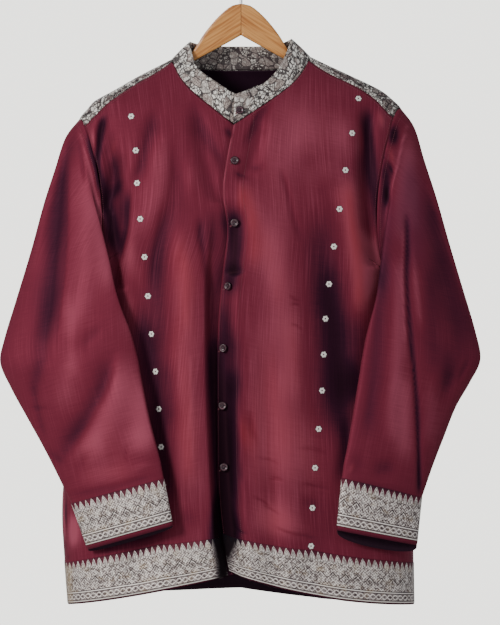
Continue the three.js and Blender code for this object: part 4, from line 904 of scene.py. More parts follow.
# Materials
class Field:  # a number in a material, with ordinary arithmetic
    def __init__(self, graph, socket):
        self.graph, self.socket = graph, socket

    def __add__(self, other):
        return self.graph.math("ADD", self, other)

    def __sub__(self, other):
        return self.graph.math("SUBTRACT", self, other)

    def __mul__(self, other):
        return self.graph.math("MULTIPLY", self, other)

    def __truediv__(self, other):
        return self.graph.math("DIVIDE", self, other)

    def __rsub__(self, other):
        return self.graph.math("SUBTRACT", other, self)

    def __rtruediv__(self, other):
        return self.graph.math("DIVIDE", other, self)

    def __pow__(self, other):
        return self.graph.math("POWER", self, other)

    def __neg__(self):
        return self * -1

    __radd__ = __add__
    __rmul__ = __mul__


class Graph:  # the nodes of one tree
    def __init__(self, tree):
        self.tree = tree
        self.tree.nodes.clear()

    def add(self, kind, settings=None, inputs=None):
        node = self.tree.nodes.new(kind)
        for key, value in (settings or {}).items():
            setattr(node, key, value)
        for key, value in (inputs or {}).items():
            self.put(node.inputs[key], value)
        return node

    def put(self, socket, value):
        value = value.socket if isinstance(value, Field) else value
        if isinstance(value, bpy.types.NodeSocket):
            self.tree.links.new(value, socket)
        else:
            socket.default_value = value


class Finish(Graph):  # a material
    def __init__(self, name, **constants):
        self.material = bpy.data.materials.new(name)
        self.material.use_nodes = True
        super().__init__(self.material.node_tree)
        constants = {key.replace("_", " "): value for key, value in constants.items()}
        self.surface = self.add("ShaderNodeBsdfPrincipled", {}, constants)
        self.add("ShaderNodeOutputMaterial", {}, {"Surface": self.surface.outputs[0]})

    def math(self, operation, *values):
        node = self.add("ShaderNodeMath", {"operation": operation}, dict(enumerate(values)))
        return Field(self, node.outputs[0])

    def biggest(self, *values):
        return values[0] if len(values) == 1 else self.math("MAXIMUM", values[0], self.biggest(*values[1:]))

    def within(self, value, middle, half):  # 1 where value lies within half of middle
        return self.math("COMPARE", value, middle, half)

    def zigzag(self, value, reach):  # runs from 0 to reach and back
        return self.math("PINGPONG", value, reach)

    def step(self, value, low, high):  # runs smoothly from 0 at low to 1 at high
        node = self.add("ShaderNodeMapRange", {"interpolation_type": "SMOOTHSTEP"}, {0: value, 1: low, 2: high})
        return Field(self, node.outputs[0])

    def blend(self, a, b, share):  # a and b are colours, as text or as sockets
        node = self.add("ShaderNodeMix", {"data_type": "RGBA"})
        ports = {port.identifier: port for port in node.inputs}
        for key, value in (("Factor_Float", share), ("A_Color", a), ("B_Color", b)):
            self.put(ports[key], colour(value) if isinstance(value, str) else value)
        return next(port for port in node.outputs if port.identifier == "Result_Color")

    def cloth(self):  # distances across and up the cloth in millimetres
        node = self.add("ShaderNodeUVMap", {"uv_map": "UVMap"})
        parts = self.add("ShaderNodeSeparateXYZ", {}, {0: node.outputs[0]})
        return Field(self, parts.outputs[0]) * 1000, Field(self, parts.outputs[1]) * 1000

    def place(self):  # object coordinates in millimetres
        node = self.add("ShaderNodeTexCoord")
        parts = self.add("ShaderNodeSeparateXYZ", {}, {0: node.outputs["Object"]})
        return [Field(self, port) * 1000 for port in parts.outputs]

    def vector(self, x, y, z=0.0):
        return self.add("ShaderNodeCombineXYZ", {}, {0: x, 1: y, 2: z}).outputs[0]

    def noise(self, x, y, z=0.0, detail=2, distortion=0.0):  # soft clouds, about one unit across
        where = {"Vector": self.vector(x, y, z), "Scale": 1.0, "Detail": detail, "Distortion": distortion}
        return Field(self, self.add("ShaderNodeTexNoise", {}, where).outputs[0])

    def cells(self, size, x, y, feature, randomness=1.0, output="Distance"):  # uneven cells of about that size
        where = {"Vector": self.vector(x / size, y / size), "Scale": 1.0, "Randomness": randomness}
        return Field(self, self.add("ShaderNodeTexVoronoi", {"feature": feature}, where).outputs[output])

    def attribute(self, name):
        return Field(self, self.add("ShaderNodeAttribute", {"attribute_name": name}).outputs["Fac"])

    def finish(self, tint=None, roughness=None, metallic=None, height=None, depth=0.0002, strength=0.5):
        for name, value in (("Base Color", tint), ("Roughness", roughness), ("Metallic", metallic)):
            if value is not None:
                self.put(self.surface.inputs[name], value)
        if height is not None:
            bump = self.add("ShaderNodeBump", {}, {"Height": height, "Distance": depth, "Strength": strength})
            self.put(self.surface.inputs["Normal"], bump.outputs[0])
        return self.material


def colour(text):
    parts = [int(text[i:i + 2], 16) / 255 for i in (1, 3, 5)]
    return tuple(p / 12.92 if p <= 0.04045 else ((p + 0.055) / 1.055) ** 2.4 for p in parts) + (1,)


# The silk's own colours (mid, slub), painted shade (shadow, deep), painted highlight (light) and their warm and cool
# tints. Sheen and gloss tint the shader.
silkLook = {"shadow": "#120a13", "deep": "#301426", "mid": "#6b2636", "light": "#9f4d5f", "warm": "#8e2d31",
            "cool": "#53263d", "slub": "#813749", "sheen": "#c05068", "gloss": "#d06a80"}
silkWeaves = {"maroon silk": (0.62, 0.3), "maroon sleeve silk": (0.22, 0.42)}  # how strongly warp and weft show


def silkColour(graph, u, v, shade, warp, weft):  # warp streaks run up the cloth, weft slubs across it
    streak = graph.noise(u * 0.7, v * 0.012, detail=3)
    slub = graph.noise(u * 0.03, v * 0.75, detail=3)
    pin = graph.zigzag(u * 0.58, 0.5) * 2
    broad = graph.noise(u * 0.02, v * 0.004)
    # shade paints the light: above 0 towards a painted highlight, below 0 to painted shade and shadow. Warm tints
    # painted highlights warmer and painted shade cooler.
    tone = shade + (streak - 0.5) * warp + (slub - 0.5) * weft + (pin - 0.5) * warp * 0.22
    warm = graph.attribute("warm")
    base = graph.blend(silkLook["mid"], silkLook["slub"], graph.step(streak, 0.5, 0.72) * min(1, warp))
    base = graph.blend(base, silkLook["light"], graph.step(tone, -0.1, 1.0))
    base = graph.blend(base, silkLook["warm"], graph.step(warm + (broad - 0.5) * 0.5, 0, 1.0))
    base = graph.blend(base, silkLook["cool"], graph.step(-warm, 0, 0.9))
    base = graph.blend(base, silkLook["deep"], graph.step(-tone, -0.1, 1.1))
    return graph.blend(base, silkLook["shadow"], graph.step(-tone, 0.6, 1.9)), streak


def makeSilk(name):
    warp, weft = silkWeaves[name]
    graph = Finish(name, Sheen_Weight=0.06, Sheen_Roughness=0.4, Sheen_Tint=colour(silkLook["sheen"]), Metallic=0.12,
                   Specular_IOR_Level=0.22, Specular_Tint=colour(silkLook["gloss"]))
    u, v = graph.cloth()
    outside, streak = silkColour(graph, u, v, graph.attribute("shade"), warp, weft)
    weave = graph.zigzag(u * 1.6, 0.5) + graph.zigzag(v * 1.6, 0.5)
    return graph.finish(outside, 0.54 - (streak - 0.5) * 0.2, None, streak * warp + weave * 0.12, 0.0003, 0.45)


# The reverse is the silk's darker back, made darker still as painted shade inside the shirt.
reverseLook = {"deep": "#1b0817", "light": "#321129"}


def makeReverse():
    graph = Finish("dark reverse", Specular_IOR_Level=0.2)
    u, v = graph.cloth()
    slub = graph.noise(u * 1.5, v * 0.05)
    return graph.finish(graph.blend(reverseLook["deep"], reverseLook["light"], slub), 0.7, None, slub, 0.0002, 0.3)


# Sizes of the flowers and petals in millimetres, their colours, and the share of the patches that stays ground.
brocadeLook = {
    "collar": {"flower": 13.5, "petal": 4.9, "pale": "#efeae1", "ground": "#80706c", "thread": "#cfc3b8",
               "line": "#20121a", "grounds": 0.42},
    "collar lining": {"flower": 9.5, "petal": 3.2, "pale": "#fbf4ea", "ground": "#a39390", "thread": "#ddd0c5",
                      "line": "#38262e", "grounds": 0.48},
    "yoke": {"flower": 12.0, "petal": 4.4, "pale": "#f0eae0", "ground": "#442d34", "thread": "#a99b92",
             "line": "#1e1118", "grounds": 0.5},
}


def makeBrocade(piece):
    # Pale flowers of petals drawn in dark outline, between patches of fine curling thread.
    look = brocadeLook[piece]
    graph = Finish(piece + " brocade", Specular_IOR_Level=0.35)
    u, v = graph.cloth()
    wander = graph.noise(u * 0.09, v * 0.09)
    x, y = u + (wander - 0.5) * 7, v + (wander - 0.5) * 6
    flowers = graph.cells(look["flower"], x, y, "DISTANCE_TO_EDGE", 0.7) * look["flower"]
    petals = graph.cells(look["petal"], x, y, "DISTANCE_TO_EDGE", 0.85) * look["petal"]
    flowerKind = graph.cells(look["flower"], x, y, "F1", 0.7, "Color")
    petalKind = graph.cells(look["petal"], x, y, "F1", 0.85, "Color")
    isFlower = graph.step(flowerKind, look["grounds"] - 0.04, look["grounds"] + 0.04)
    curls = graph.step(graph.math("SINE", graph.noise(u * 0.3, v * 0.3) * 30 + u * 0.3), 0.0, 0.4)
    outline = graph.step(flowers, 0.8, 0.36)
    petalLine = graph.step(petals, 0.56, 0.24) * (isFlower * 0.6 + 0.35)
    ground = graph.blend(look["ground"], look["thread"], curls * 0.8)
    pale = graph.blend(look["pale"], look["thread"], graph.step(petalKind, 0.62, 0.7) * 0.7)
    base = graph.blend(ground, pale, isFlower)
    base = graph.blend(base, look["pale"], graph.step(petalKind, 0.66, 0.72) * (1 - isFlower) * 0.7)
    base = graph.blend(base, look["line"], graph.biggest(outline * 0.9, petalLine))
    thread = graph.zigzag(v * 2.2, 0.5) * 2
    height = isFlower * 0.5 - outline * 0.5 - petalLine * 0.5 + thread * 0.15 + curls * 0.2
    return graph.finish(base, 0.52 + outline * 0.15, (1 - outline) * 0.18, height, 0.0004, 0.5)


# Heights up the border, widths and distances are in millimetres of its cloth.
# Its shadow and deep colours are painted shade.
borderLook = {
    "pale": "#fcf3ec", "mid": "#cdc0ba", "ground": "#5f4f51", "dark": "#22121a", "gold": "#b79b6e",
    "shadow": "#3d3038", "deep": "#160a11", "goldFrom": 229, "goldOver": 9, "height": 60.4,
    "tooth": 8.8, "toothFoot": 49, "toothHeight": 11, "toothBand": 46.5, "fieldFoot": 12.2, "fieldTop": 49.5,
    "braid": 5.9, "braidHalf": 3.6, "braidSwing": 2.3, "footStretch": 0.75, "fieldStretch": 1.12,
}
# Spots of the field: their height up the band, their stretch across it, and the distances between which they end.
borderSpots = {
    "seed": (15.2, 1.2, 1.9, 1.4), "bud": (18.6, 1.6, 2.6, 2.1), "drop": (24, 1.8, 3.2, 2.6),
    "leaf": (34, 2.0, 6.6, 5.9), "leafRib": (34, 2.4, 2.6, 2.0), "crown": (40.5, 1.3, 3.6, 3.0),
}
# Lines along its foot: their height and half their width.
borderLines = {"pale": ((0.95, 0.6), (10.75, 0.6)), "dark": ((0.1, 0.2), (1.95, 0.35), (9.75, 0.35), (11.7, 0.4))}


def makeBorder():
    # v runs up from the foot: a braid between two lines, a field of lozenges and arches, and teeth along the top.
    look = borderLook
    graph = Finish("woven silver border", Specular_IOR_Level=0.14)
    step, within, biggest = graph.step, graph.within, graph.biggest
    u, v = graph.cloth()
    foot = v * look["footStretch"]
    w = look["fieldTop"] - (look["fieldTop"] - v) * look["fieldStretch"]
    tooth, pitch = look["tooth"], look["tooth"] * 2
    fromArch = graph.zigzag(u + pitch * 4, pitch / 2)  # 0 at each arch, most between two arches
    fromGap = pitch / 2 - fromArch

    def lines(tone):
        return biggest(*(within(foot, middle, half) for middle, half in borderLines[tone]))

    def away(x, y, middle, stretch=1.0):  # how far from a spot that repeats across the cloth, along slanting lines
        return x * stretch + graph.math("ABSOLUTE", y - middle)

    def spot(name, x):
        middle, stretch, low, high = borderSpots[name]
        return step(away(x, w, middle, stretch), low, high)

    wear = graph.noise(u * 0.06, v * 0.09, detail=3)
    grain = graph.noise(u * 0.9, v * 0.9)
    fleck = graph.cells(1.9, u, v, "F1", 0.85, "Color")
    paleFleck, darkFleck = step(fleck, 0.53, 0.62), step(fleck, 0.44, 0.36)

    # The foot: two strands of a braid with dark knots, between thin lines.
    swing = graph.math("SINE", u * (math.pi / tooth)) * look["braidSwing"]
    braid = biggest(within(foot - look["braid"] - swing, 0, 0.6), within(foot - look["braid"] + swing, 0, 0.6))
    knots = step(away(tooth / 2 - graph.zigzag(u, tooth / 2), foot, look["braid"], 0.6), 1.5, 0.9)
    strip = within(foot, look["braid"], look["braidHalf"])
    paleFoot = biggest(lines("pale"), (braid * 0.75 + paleFleck * 0.35) * strip)
    darkFoot = biggest(lines("dark"), ((1 - braid) * (darkFleck * 0.4 + 0.12) + knots * 0.4) * strip)

    # The field: a fine net under fans, lozenges, arches and leaves.
    inField = within(w, (look["fieldTop"] + look["fieldFoot"]) / 2, (look["fieldTop"] - look["fieldFoot"]) / 2)
    reach = tooth / 4
    rising, falling = graph.zigzag(u + w - 12.4, reach), graph.zigzag(u - w + 12.4 + reach * 160, reach)
    net = biggest(step(rising, 0.75, 0.45), step(falling, 0.75, 0.45))
    dots = step(rising + falling, reach * 1.3, reach * 1.5)
    fan = within(fromArch - (w - 12.6) * 0.62, 0, 0.9) * within(w, 16.6, 4.2)
    lozenge = away(fromArch, w, 25.4, 1.35)
    arch = within((w - 31) + fromArch * 1.3, 2.2, 1.1) * step(fromArch, 5.6, 4.8)
    paleField = inField * biggest(within(lozenge, 5.6, 0.9), spot("leaf", fromGap), spot("crown", fromArch) * 0.8,
                                  spot("bud", fromGap) * 0.9, fan, paleFleck * 0.62)
    darkField = inField * biggest(step(lozenge, 1.7, 1.2), within(lozenge, 3.7, 0.45) * 0.7, arch,
                                  spot("leafRib", fromGap) * 0.7, spot("seed", fromGap), spot("drop", fromGap) * 0.8,
                                  darkFleck * 0.62)

    # The teeth: wide and narrow in turn, with a dark rib, and plain silk between them.
    toothAt = graph.zigzag(u + pitch * 4, tooth / 2)
    wide = graph.math("GREATER_THAN", graph.zigzag(u + pitch * 4, tooth), tooth / 2)
    up = biggest((v - look["toothFoot"]) / look["toothHeight"], 0)
    fromEdge = (3.3 + wide * 1.2) * (1 - up ** 1.5) - toothAt
    gap = graph.math("GREATER_THAN", v, look["toothFoot"]) * (1 - graph.math("GREATER_THAN", fromEdge, 0))
    teeth = graph.math("GREATER_THAN", v, look["toothBand"]) * (1 - gap)
    rib = within(toothAt, 0, 0.35) * within(v, 51, 3.2)
    paleTeeth = teeth * biggest(0.5, paleFleck * 0.8)
    darkTeeth = biggest(within(fromEdge, 1.2, 0.3) * teeth, rib, darkFleck * teeth * 0.45)

    white, dark = biggest(paleFoot, paleField, paleTeeth), biggest(darkFoot, darkField, darkTeeth)
    base = graph.blend(look["ground"], look["mid"], biggest(net * inField, teeth, grain * 0.5))
    base = graph.blend(base, look["pale"], white * (grain * 0.3 + 0.76))
    base = graph.blend(base, look["dark"], biggest(dark * 0.92, dots * inField * (grain * 0.6 + 0.5)))
    x, _, _ = graph.place()
    gold = step(-x, look["goldFrom"], look["goldFrom"] + look["goldOver"]) * 0.35 + step(wear, 0.5, 0.75) * 0.25
    base = graph.blend(base, look["gold"], graph.math("MINIMUM", gold, 0.5))
    # Painted shade darkens the border where the cloth's painted shade falls.
    shade = graph.attribute("shade")
    base = graph.blend(base, look["shadow"], step(-shade, 0.2, 1.2) * 0.75)
    base = graph.blend(base, look["deep"], step(-shade, 0.9, 1.8))
    # The silk between the teeth is painted darker, as painted shade.
    plain, _ = silkColour(graph, u, v, shade - 0.4, 0.5, 0.3)
    base = graph.blend(base, plain, gap)
    height = (white * 0.5 - dark * 0.5 + grain * 0.2) * (1 - gap)
    bright = step(shade, -1.6, -0.4)
    return graph.finish(base, 0.8 - bright * 0.3, (1 - gap) * bright * 0.2 + 0.06, height, 0.0004, 0.5)


woodLook = {"pale": "#dc9a52", "fibre": "#b56d2a", "dark": "#8a4a1e", "fine": "#e6ab68", "joint": "#5e3013",
            "lean": 0.58}


def makeWood():  # the grain leans the same way down both arms, with a dark glue line where they meet
    look = woodLook
    graph = Finish("light wood", Coat_Weight=0.35, Coat_Roughness=0.25)
    x, y, z = graph.place()
    reach, arm = graph.math("ABSOLUTE", x), graph.math("SIGN", x) * 9
    cos, sin = math.cos(look["lean"]), math.sin(look["lean"])
    along, across = reach * cos - z * sin, z * cos + reach * sin
    fibre = graph.noise(along * 0.015, across * 0.3, y * 0.3 + arm, 4, 0.6)
    fine = graph.noise(along * 0.06, across * 2.4, y * 1.2 + arm)
    base = graph.blend(look["pale"], look["fibre"], graph.step(fibre, 0.36, 0.66))
    base = graph.blend(base, look["dark"], graph.step(fibre, 0.6, 0.74) * 0.6)
    base = graph.blend(base, look["fine"], graph.step(fine, 0.55, 0.75) * 0.3)
    base = graph.blend(base, look["joint"], graph.step(reach, 0.55, 0.3) * 0.8)
    return graph.finish(base, 0.38 + fine * 0.15, None, fine + fibre, 0.0002, 0.25)


hookLook = {"bright": "#c7c8ca", "worn": "#9b9a98"}


def makeMetal():
    graph = Finish("plated hook wire", Metallic=1.0)
    x, y, z = graph.place()
    wear = graph.noise(x * 0.2, y * 0.2, z * 0.2, 3)
    fine = graph.noise(x * 3, y * 3, z * 0.4, 1)
    base = graph.blend(hookLook["bright"], hookLook["worn"], wear)
    return graph.finish(base, 0.2 + wear * 0.18, None, fine, 0.00005, 0.3)


# The ring's lighter colours on the button's rim are a painted sheen.
buttonTones = {"polished dark button": ("#1a0a12", "#3b1623"), "worn button ring": ("#4b3038", "#6d5058")}


def makeButton(name):
    graph = Finish(name, Coat_Weight=0.3, Coat_Roughness=0.2, Specular_IOR_Level=0.35)
    x, y, z = graph.place()
    cloud = graph.noise(x * 0.35, y * 0.35, z * 0.35, 3, 1.0)
    fine = graph.noise(x * 2, y * 2, z * 2, 1)
    base = graph.blend(*buttonTones[name], graph.step(cloud, 0.4, 0.65))
    return graph.finish(base, 0.22 + cloud * 0.12, None, fine, 0.0001, 0.15)


# A thread's two colours and how metallic it is.
threadTones = {"maroon thread": ("#6d2836", "#a0485a", 0.0), "silver thread": ("#e0d8cf", "#fbf7f0", 0.12),
               "dark thread": ("#2c1420", "#4a2230", 0.0)}


def makeThread(name):
    low, high, metallic = threadTones[name]
    graph = Finish(name, Sheen_Weight=0.2)
    x, y, z = graph.place()
    twist = graph.zigzag((x + z) * 2.6 + y, 0.5) * 2
    cloud = graph.noise(x * 0.3, y * 0.3, z * 0.3, 1)
    base = graph.blend(low, high, twist * 0.6 + cloud * 0.4)
    return graph.finish(base, 0.5, metallic, twist, 0.0001, 0.4)


silk, sleeveSilk = (makeSilk(name) for name in ("maroon silk", "maroon sleeve silk"))
reverse, border, wood, hookMetal = makeReverse(), makeBorder(), makeWood(), makeMetal()
yokeBrocade, collarBrocade, collarLining = (makeBrocade(piece) for piece in ("yoke", "collar", "collar lining"))
buttonShell, buttonRingSheen = (makeButton(name) for name in ("polished dark button", "worn button ring"))
silkThread, paleThread, darkThread = (makeThread(name) for name in ("maroon thread", "silver thread", "dark thread"))
print("materials made")


# The sewn pieces
panels, clothPieces = {}, {}
trims = {name: [] for name in (
    "front_left", "front_right", "back", "sleeve_right", "sleeve_left", "yoke", "yoke_facing", "collar")}


def addBand(name, grid, looks, around=False):  # its pattern fills the band from foot to top
    lengths = evenLengths(grid, around)
    lengths[..., 1] = clothLengths(grid, around)[..., 1]
    lengths[..., 1] *= borderLook["height"] * metre / lengths[:1, :, 1]
    band = addShell(name + "_trim", grid, form["bandWall"], [border], form["bandLift"], around, looks, lengths, [name])
    return band


bodyPanels = {"front_left": frontGrid("left"), "front_right": frontGrid("right"), "back": backGrid()}
lapCount = len(refine([0, form["underlapWidth"]], fineness["front"]))
for name, (grid, looks) in bodyPanels.items():
    panels[name] = grid
    clothPieces[name] = addShell(name + "_cloth", grid, form["clothWall"], [silk, reverse], looks=looks,
                                 uv=straightLengths(grid), nodes=[name])
for name, (grid, looks) in bodyPanels.items():
    across = slice(0, -lapCount) if name == "front_right" else slice(None)
    trims[name].append(addBand("hem_band_" + name, grid[bandRows, across], looks[bandRows, across]))
print("panels and hem bands made")

for side in sides:
    name = "sleeve_" + side
    grid, looks, marks = sleeveGrid(side)
    panels[name] = grid
    lengths = clothLengths(grid, True)
    lengths[..., 0] -= lengths[:, [grid[:, :, 1].mean(0).argmin()], 0]  # threads run straight down the sleeve's front
    clothPieces[name] = addShell(name + "_cloth", grid, form["clothWall"], [sleeveSilk, reverse], 0, True, looks,
                                 lengths, [name])
    rows = slice(marks[sleeveCloth["bandTop"]], marks[sleeveCloth["bandFoot"]] + 1)
    trims[name].append(addBand("cuff_band_" + side, grid[rows], looks[rows], True))
print("sleeves made")

panels["yoke"], panels["collar"] = yokeGrid(), collarGrid()
behindYoke = -form["clothWall"] - form["facingGap"]
for name, grid, wall, materials, lift, uv in (
        ("yoke", panels["yoke"], "clothWall", [yokeBrocade], 0, evenLengths(panels["yoke"])),
        ("yoke_facing", panels["yoke"], "facingWall", [reverse], behindYoke, None),
        ("collar", panels["collar"], "collarWall", [collarBrocade, collarLining], 0, evenLengths(panels["collar"]))):
    clothPieces[name] = addShell(name + "_cloth", grid, form[wall], materials, lift, uv=uv, nodes=[name])
print("yoke and collar made")

cadMaterials = {"hanger_arm_right": wood, "hanger_arm_left": wood, "hanger_hook": hookMetal}
for node, material in cadMaterials.items():
    for slotted in bpy.data.objects[node].material_slots:
        slotted.material = material


# Small parts repeated by Geometry Nodes
def repeatTree():
    # Sets a small part along paths, or on lone points, turned to face out of the cloth.
    tree = bpy.data.node_groups.new("small parts along paths", "GeometryNodeTree")
    inputs = {"Geometry": "Geometry", "Part": "Object", "Spacing": "Float", "On points": "Bool", "Material": "Material"}
    ports = {name: tree.interface.new_socket(name, in_out="INPUT", socket_type="NodeSocket" + kind).identifier
             for name, kind in inputs.items()}
    tree.interface.new_socket("Geometry", in_out="OUTPUT", socket_type="NodeSocketGeometry")
    graph = Graph(tree)

    def add(kind, settings, values):
        return graph.add(kind, settings, values).outputs[0]

    source = graph.add("NodeGroupInput").outputs
    curve = add("GeometryNodeMeshToCurve", {}, {0: source["Geometry"]})
    spaced = add("GeometryNodeResampleCurve", {"mode": "LENGTH"}, {"Curve": curve, "Length": source["Spacing"]})
    lone = add("GeometryNodeMeshToPoints", {}, {0: source["Geometry"]})
    places = add("GeometryNodeSwitch", {"input_type": "GEOMETRY"},
                 {"Switch": source["On points"], "False": spaced, "True": lone})
    out, along = (add("GeometryNodeInputNamedAttribute", {"data_type": "FLOAT_VECTOR"}, {"Name": name})
                  for name in ("out", "along"))
    turn = add("FunctionNodeAxesToRotation", {"primary_axis": "Z", "secondary_axis": "X"}, {0: out, 1: along})
    part = graph.add("GeometryNodeObjectInfo", {}, {0: source["Part"]}).outputs["Geometry"]
    parts = add("GeometryNodeInstanceOnPoints", {}, {"Points": places, "Instance": part, "Rotation": turn})
    real = add("GeometryNodeRealizeInstances", {}, {0: parts})
    finished = add("GeometryNodeSetMaterial", {}, {"Geometry": real, "Material": source["Material"]})
    graph.add("NodeGroupOutput", {}, {0: finished})
    return tree, ports


repeats, repeatPorts = repeatTree()


def repeatPart(name, paths, part, material, slot, spacing=0.0):
    # Each path is a list of points with the directions out of the cloth and along the part. Without a spacing the part
    # stands on every point.
    points, edges = [], []
    for places, _, _ in paths:
        if spacing:
            edges += [(len(points) + i, len(points) + i + 1) for i in range(len(places) - 1)]
        points += [tuple(place) for place in places]
    mesh = meshOf(name, points, [], edges=edges)
    for key, values in (("out", [out for _, out, _ in paths]), ("along", [along for _, _, along in paths])):
        values = np.concatenate(values).astype(float).ravel()
        mesh.attributes.new(key, "FLOAT_VECTOR", "POINT").data.foreach_set("vector", values)
    obj = intoScene(bpy.data.objects.new(name, mesh))
    modifier = obj.modifiers.new("parts", "NODES")
    modifier.node_group = repeats
    inputs = {"Part": part, "Spacing": spacing * metre, "On points": not spacing, "Material": material}
    for key, value in inputs.items():
        modifier[repeatPorts[key]] = value
    bpy.context.view_layer.update()
    made = bpy.data.meshes.new_from_object(obj.evaluated_get(bpy.context.evaluated_depsgraph_get()))
    obj.modifiers.clear()
    obj.data = made
    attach(obj, "root")
    return obj


def anglesOf(count):  # evenly spaced round a ring
    return np.arange(count) * 2 * math.pi / count


def ringFaces(rings, count, capFirst=False, capLast=False):
    faces = [(r * count + i, r * count + (i + 1) % count, (r + 1) * count + (i + 1) % count, (r + 1) * count + i)
             for r in range(rings - 1) for i in range(count)]
    if capFirst:
        faces.append(tuple(reversed(range(count))))
    if capLast:
        faces.append(tuple(range((rings - 1) * count, rings * count)))
    return faces


def partObject(name, rings, faces, attributes=None):  # a part that is kept out of the scene
    return bpy.data.objects.new(name, meshOf(name, rings, faces, attributes))


# A fillet of wood closes the groove where the two bevelled arms of the hanger meet.
fillet = {"heights": (-98.9, -95.5, -58.1, -55.1), "reaches": (3.05, 5.95, 5.95, 3.05), "half": 3, "waist": 0.12,
          "bevel": 0.97}
filletPoints = []
for height, reach in zip(fillet["heights"], fillet["reaches"]):
    waist, half = fillet["waist"], fillet["half"]
    wide = waist + (reach - half) * fillet["bevel"]
    filletPoints += [(x, y, height) for x, y in (
        (-wide, -reach), (wide, -reach), (waist, -half), (waist, half), (wide, reach), (-wide, reach),
        (-waist, half), (-waist, -half))]
filletFaces = ringFaces(4, 8, True, True)
joint = addMesh("hanger_joint_trim", filletPoints, filletFaces, [wood], flat=np.arange(len(filletFaces)))
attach(joint, "root")

stitchLook = {"length": 1.9, "width": 0.42, "height": 0.3, "spacing": 2.7, "lift": 0.1, "turns": 5}


def stitchPart(name, length, width, height):  # a short length of thread that dips in at both ends
    rings = []
    for t in np.linspace(-1, 1, stitchLook["turns"]):
        swell = max(0.25, 1 - t**4)
        rings += [(t * length / 2, width / 2 * swell * math.cos(a), height * (0.9 - t * t + 0.5 * swell * math.sin(a)))
                  for a in anglesOf(stitchLook["turns"])]
    return partObject(name, rings, ringFaces(stitchLook["turns"], stitchLook["turns"], True, True))


def linePath(grid, row=None, column=None, start=0, end=None):
    # Points a little above a row or a column of a grid, with the directions out of and along the cloth.
    normals = gridNormals(grid, False)
    at = (slice(start, end), column) if row is None else (row, slice(start, end))
    places = grid[at] + normals[at] * stitchLook["lift"]
    return places, normals[at], np.gradient(places, axis=0)


silkStitch = stitchPart("silk stitch", stitchLook["length"], stitchLook["width"], stitchLook["height"])
stitchLines = {
    "front_left": [{"column": 1}, {"column": lapCount - 2}, {"column": -2}, {"row": 1, "start": 6}],
    "front_right": [{"column": 1}, {"row": 1, "end": -16}],
    "back": [{"column": 1}, {"column": -2}, {"row": 1}],
    "sleeve_right": [{"row": 2}, {"row": -3}],
    "sleeve_left": [{"row": 2}, {"row": -3}],
    "yoke": [{"row": 1}, {"row": -2}],
    "collar": [{"row": 1}, {"row": -2}],
}
for name, lines in stitchLines.items():
    thread, slot = (paleThread, "brocade") if name in ("yoke", "collar") else (silkThread, "silk")
    paths = [linePath(panels[name], **line) for line in lines]
    trims[name].append(repeatPart(name + "_stitches", paths, silkStitch, thread, slot, stitchLook["spacing"]))

# Butis: small silver rosettes with a dark eye, in one column down each front and down each side of the back.
butiLook = {"radius": 4.05, "lobe": 0.45, "lobes": 6, "turns": 30, "eye": 1.0, "outline": 0.6, "raise": 0.3,
            "lift": 0.06, "along": (1, 0, 0.1)}
backButis = {"count": 11, "topX": 150, "footX": 104, "topZ": -272, "spacing": 52.6}
butiPlaces = {
    "front_right": [
        (-151.8, -212), (-145.2, -259.3), (-143.5, -304.4), (-139, -354), (-133, -406.5), (-128.3, -460.4),
        (-123.6, -512.8), (-118, -564.4), (-113.3, -616), (-110.1, -668.2), (-107.4, -721), (-105, -775),
    ],
    "front_left": [
        (162.4, -187.1), (153.5, -235.4), (144.2, -286.5), (135.9, -340.3), (128.1, -392.1), (121.4, -443.8),
        (116.5, -491.6), (114.1, -541), (111.8, -590.6), (107.1, -643.5), (102.1, -697), (98.4, -752.1), (96.6, -804.8),
    ],
    "back": [
        (sign * mix(backButis["topX"], backButis["footX"], i / (backButis["count"] - 1)),
         backButis["topZ"] - backButis["spacing"] * i) for sign in (-1, 1) for i in range(backButis["count"])
    ],
}


def rosette(name, profile, lobe=0.0):  # rings of a radius and a height round the middle, lobed outwards
    rings = []
    for radius, height in profile:
        lobing = lobe * min(1, radius / butiLook["radius"])
        for a in anglesOf(butiLook["turns"]):
            reach = radius + lobing * math.cos(butiLook["lobes"] * a)
            rings.append((reach * math.cos(a), reach * math.sin(a), height))
    return partObject(name, rings, ringFaces(len(profile), butiLook["turns"]), {"lift": [ring[2] for ring in rings]})


def surfaceTree(grid):
    index = np.arange(grid.shape[0] * grid.shape[1]).reshape(grid.shape[:2])
    faces = np.stack([index[:-1, :-1], index[1:, :-1], index[1:, 1:], index[:-1, 1:]], -1).reshape(-1, 4)
    return BVHTree.FromPolygons(grid.reshape(-1, 3).tolist(), faces.tolist())


surfaces = {name: surfaceTree(panels[name]) for name in ("front_left", "front_right", "back", "collar")}


def onCloth(name, x, z):  # the place and the way out of the cloth, as seen from in front or, on the back, from behind
    sign = -1 if name == "back" else 1
    place, normal, _, _ = surfaces[name].ray_cast(Vector((x, -sign * 400, z)), Vector((0, sign, 0)))
    return place, normal if normal.y * sign < 0 else -normal


def layDown(obj, name):  # brings every point of the woven rosettes onto the cloth under it
    lift = np.empty(len(obj.data.vertices))
    obj.data.attributes["lift"].data.foreach_get("value", lift)
    for vertex, height in zip(obj.data.vertices, lift):
        place, normal = onCloth(name, vertex.co.x / metre, vertex.co.z / metre)
        vertex.co = (place + normal * (height + butiLook["lift"])) * metre


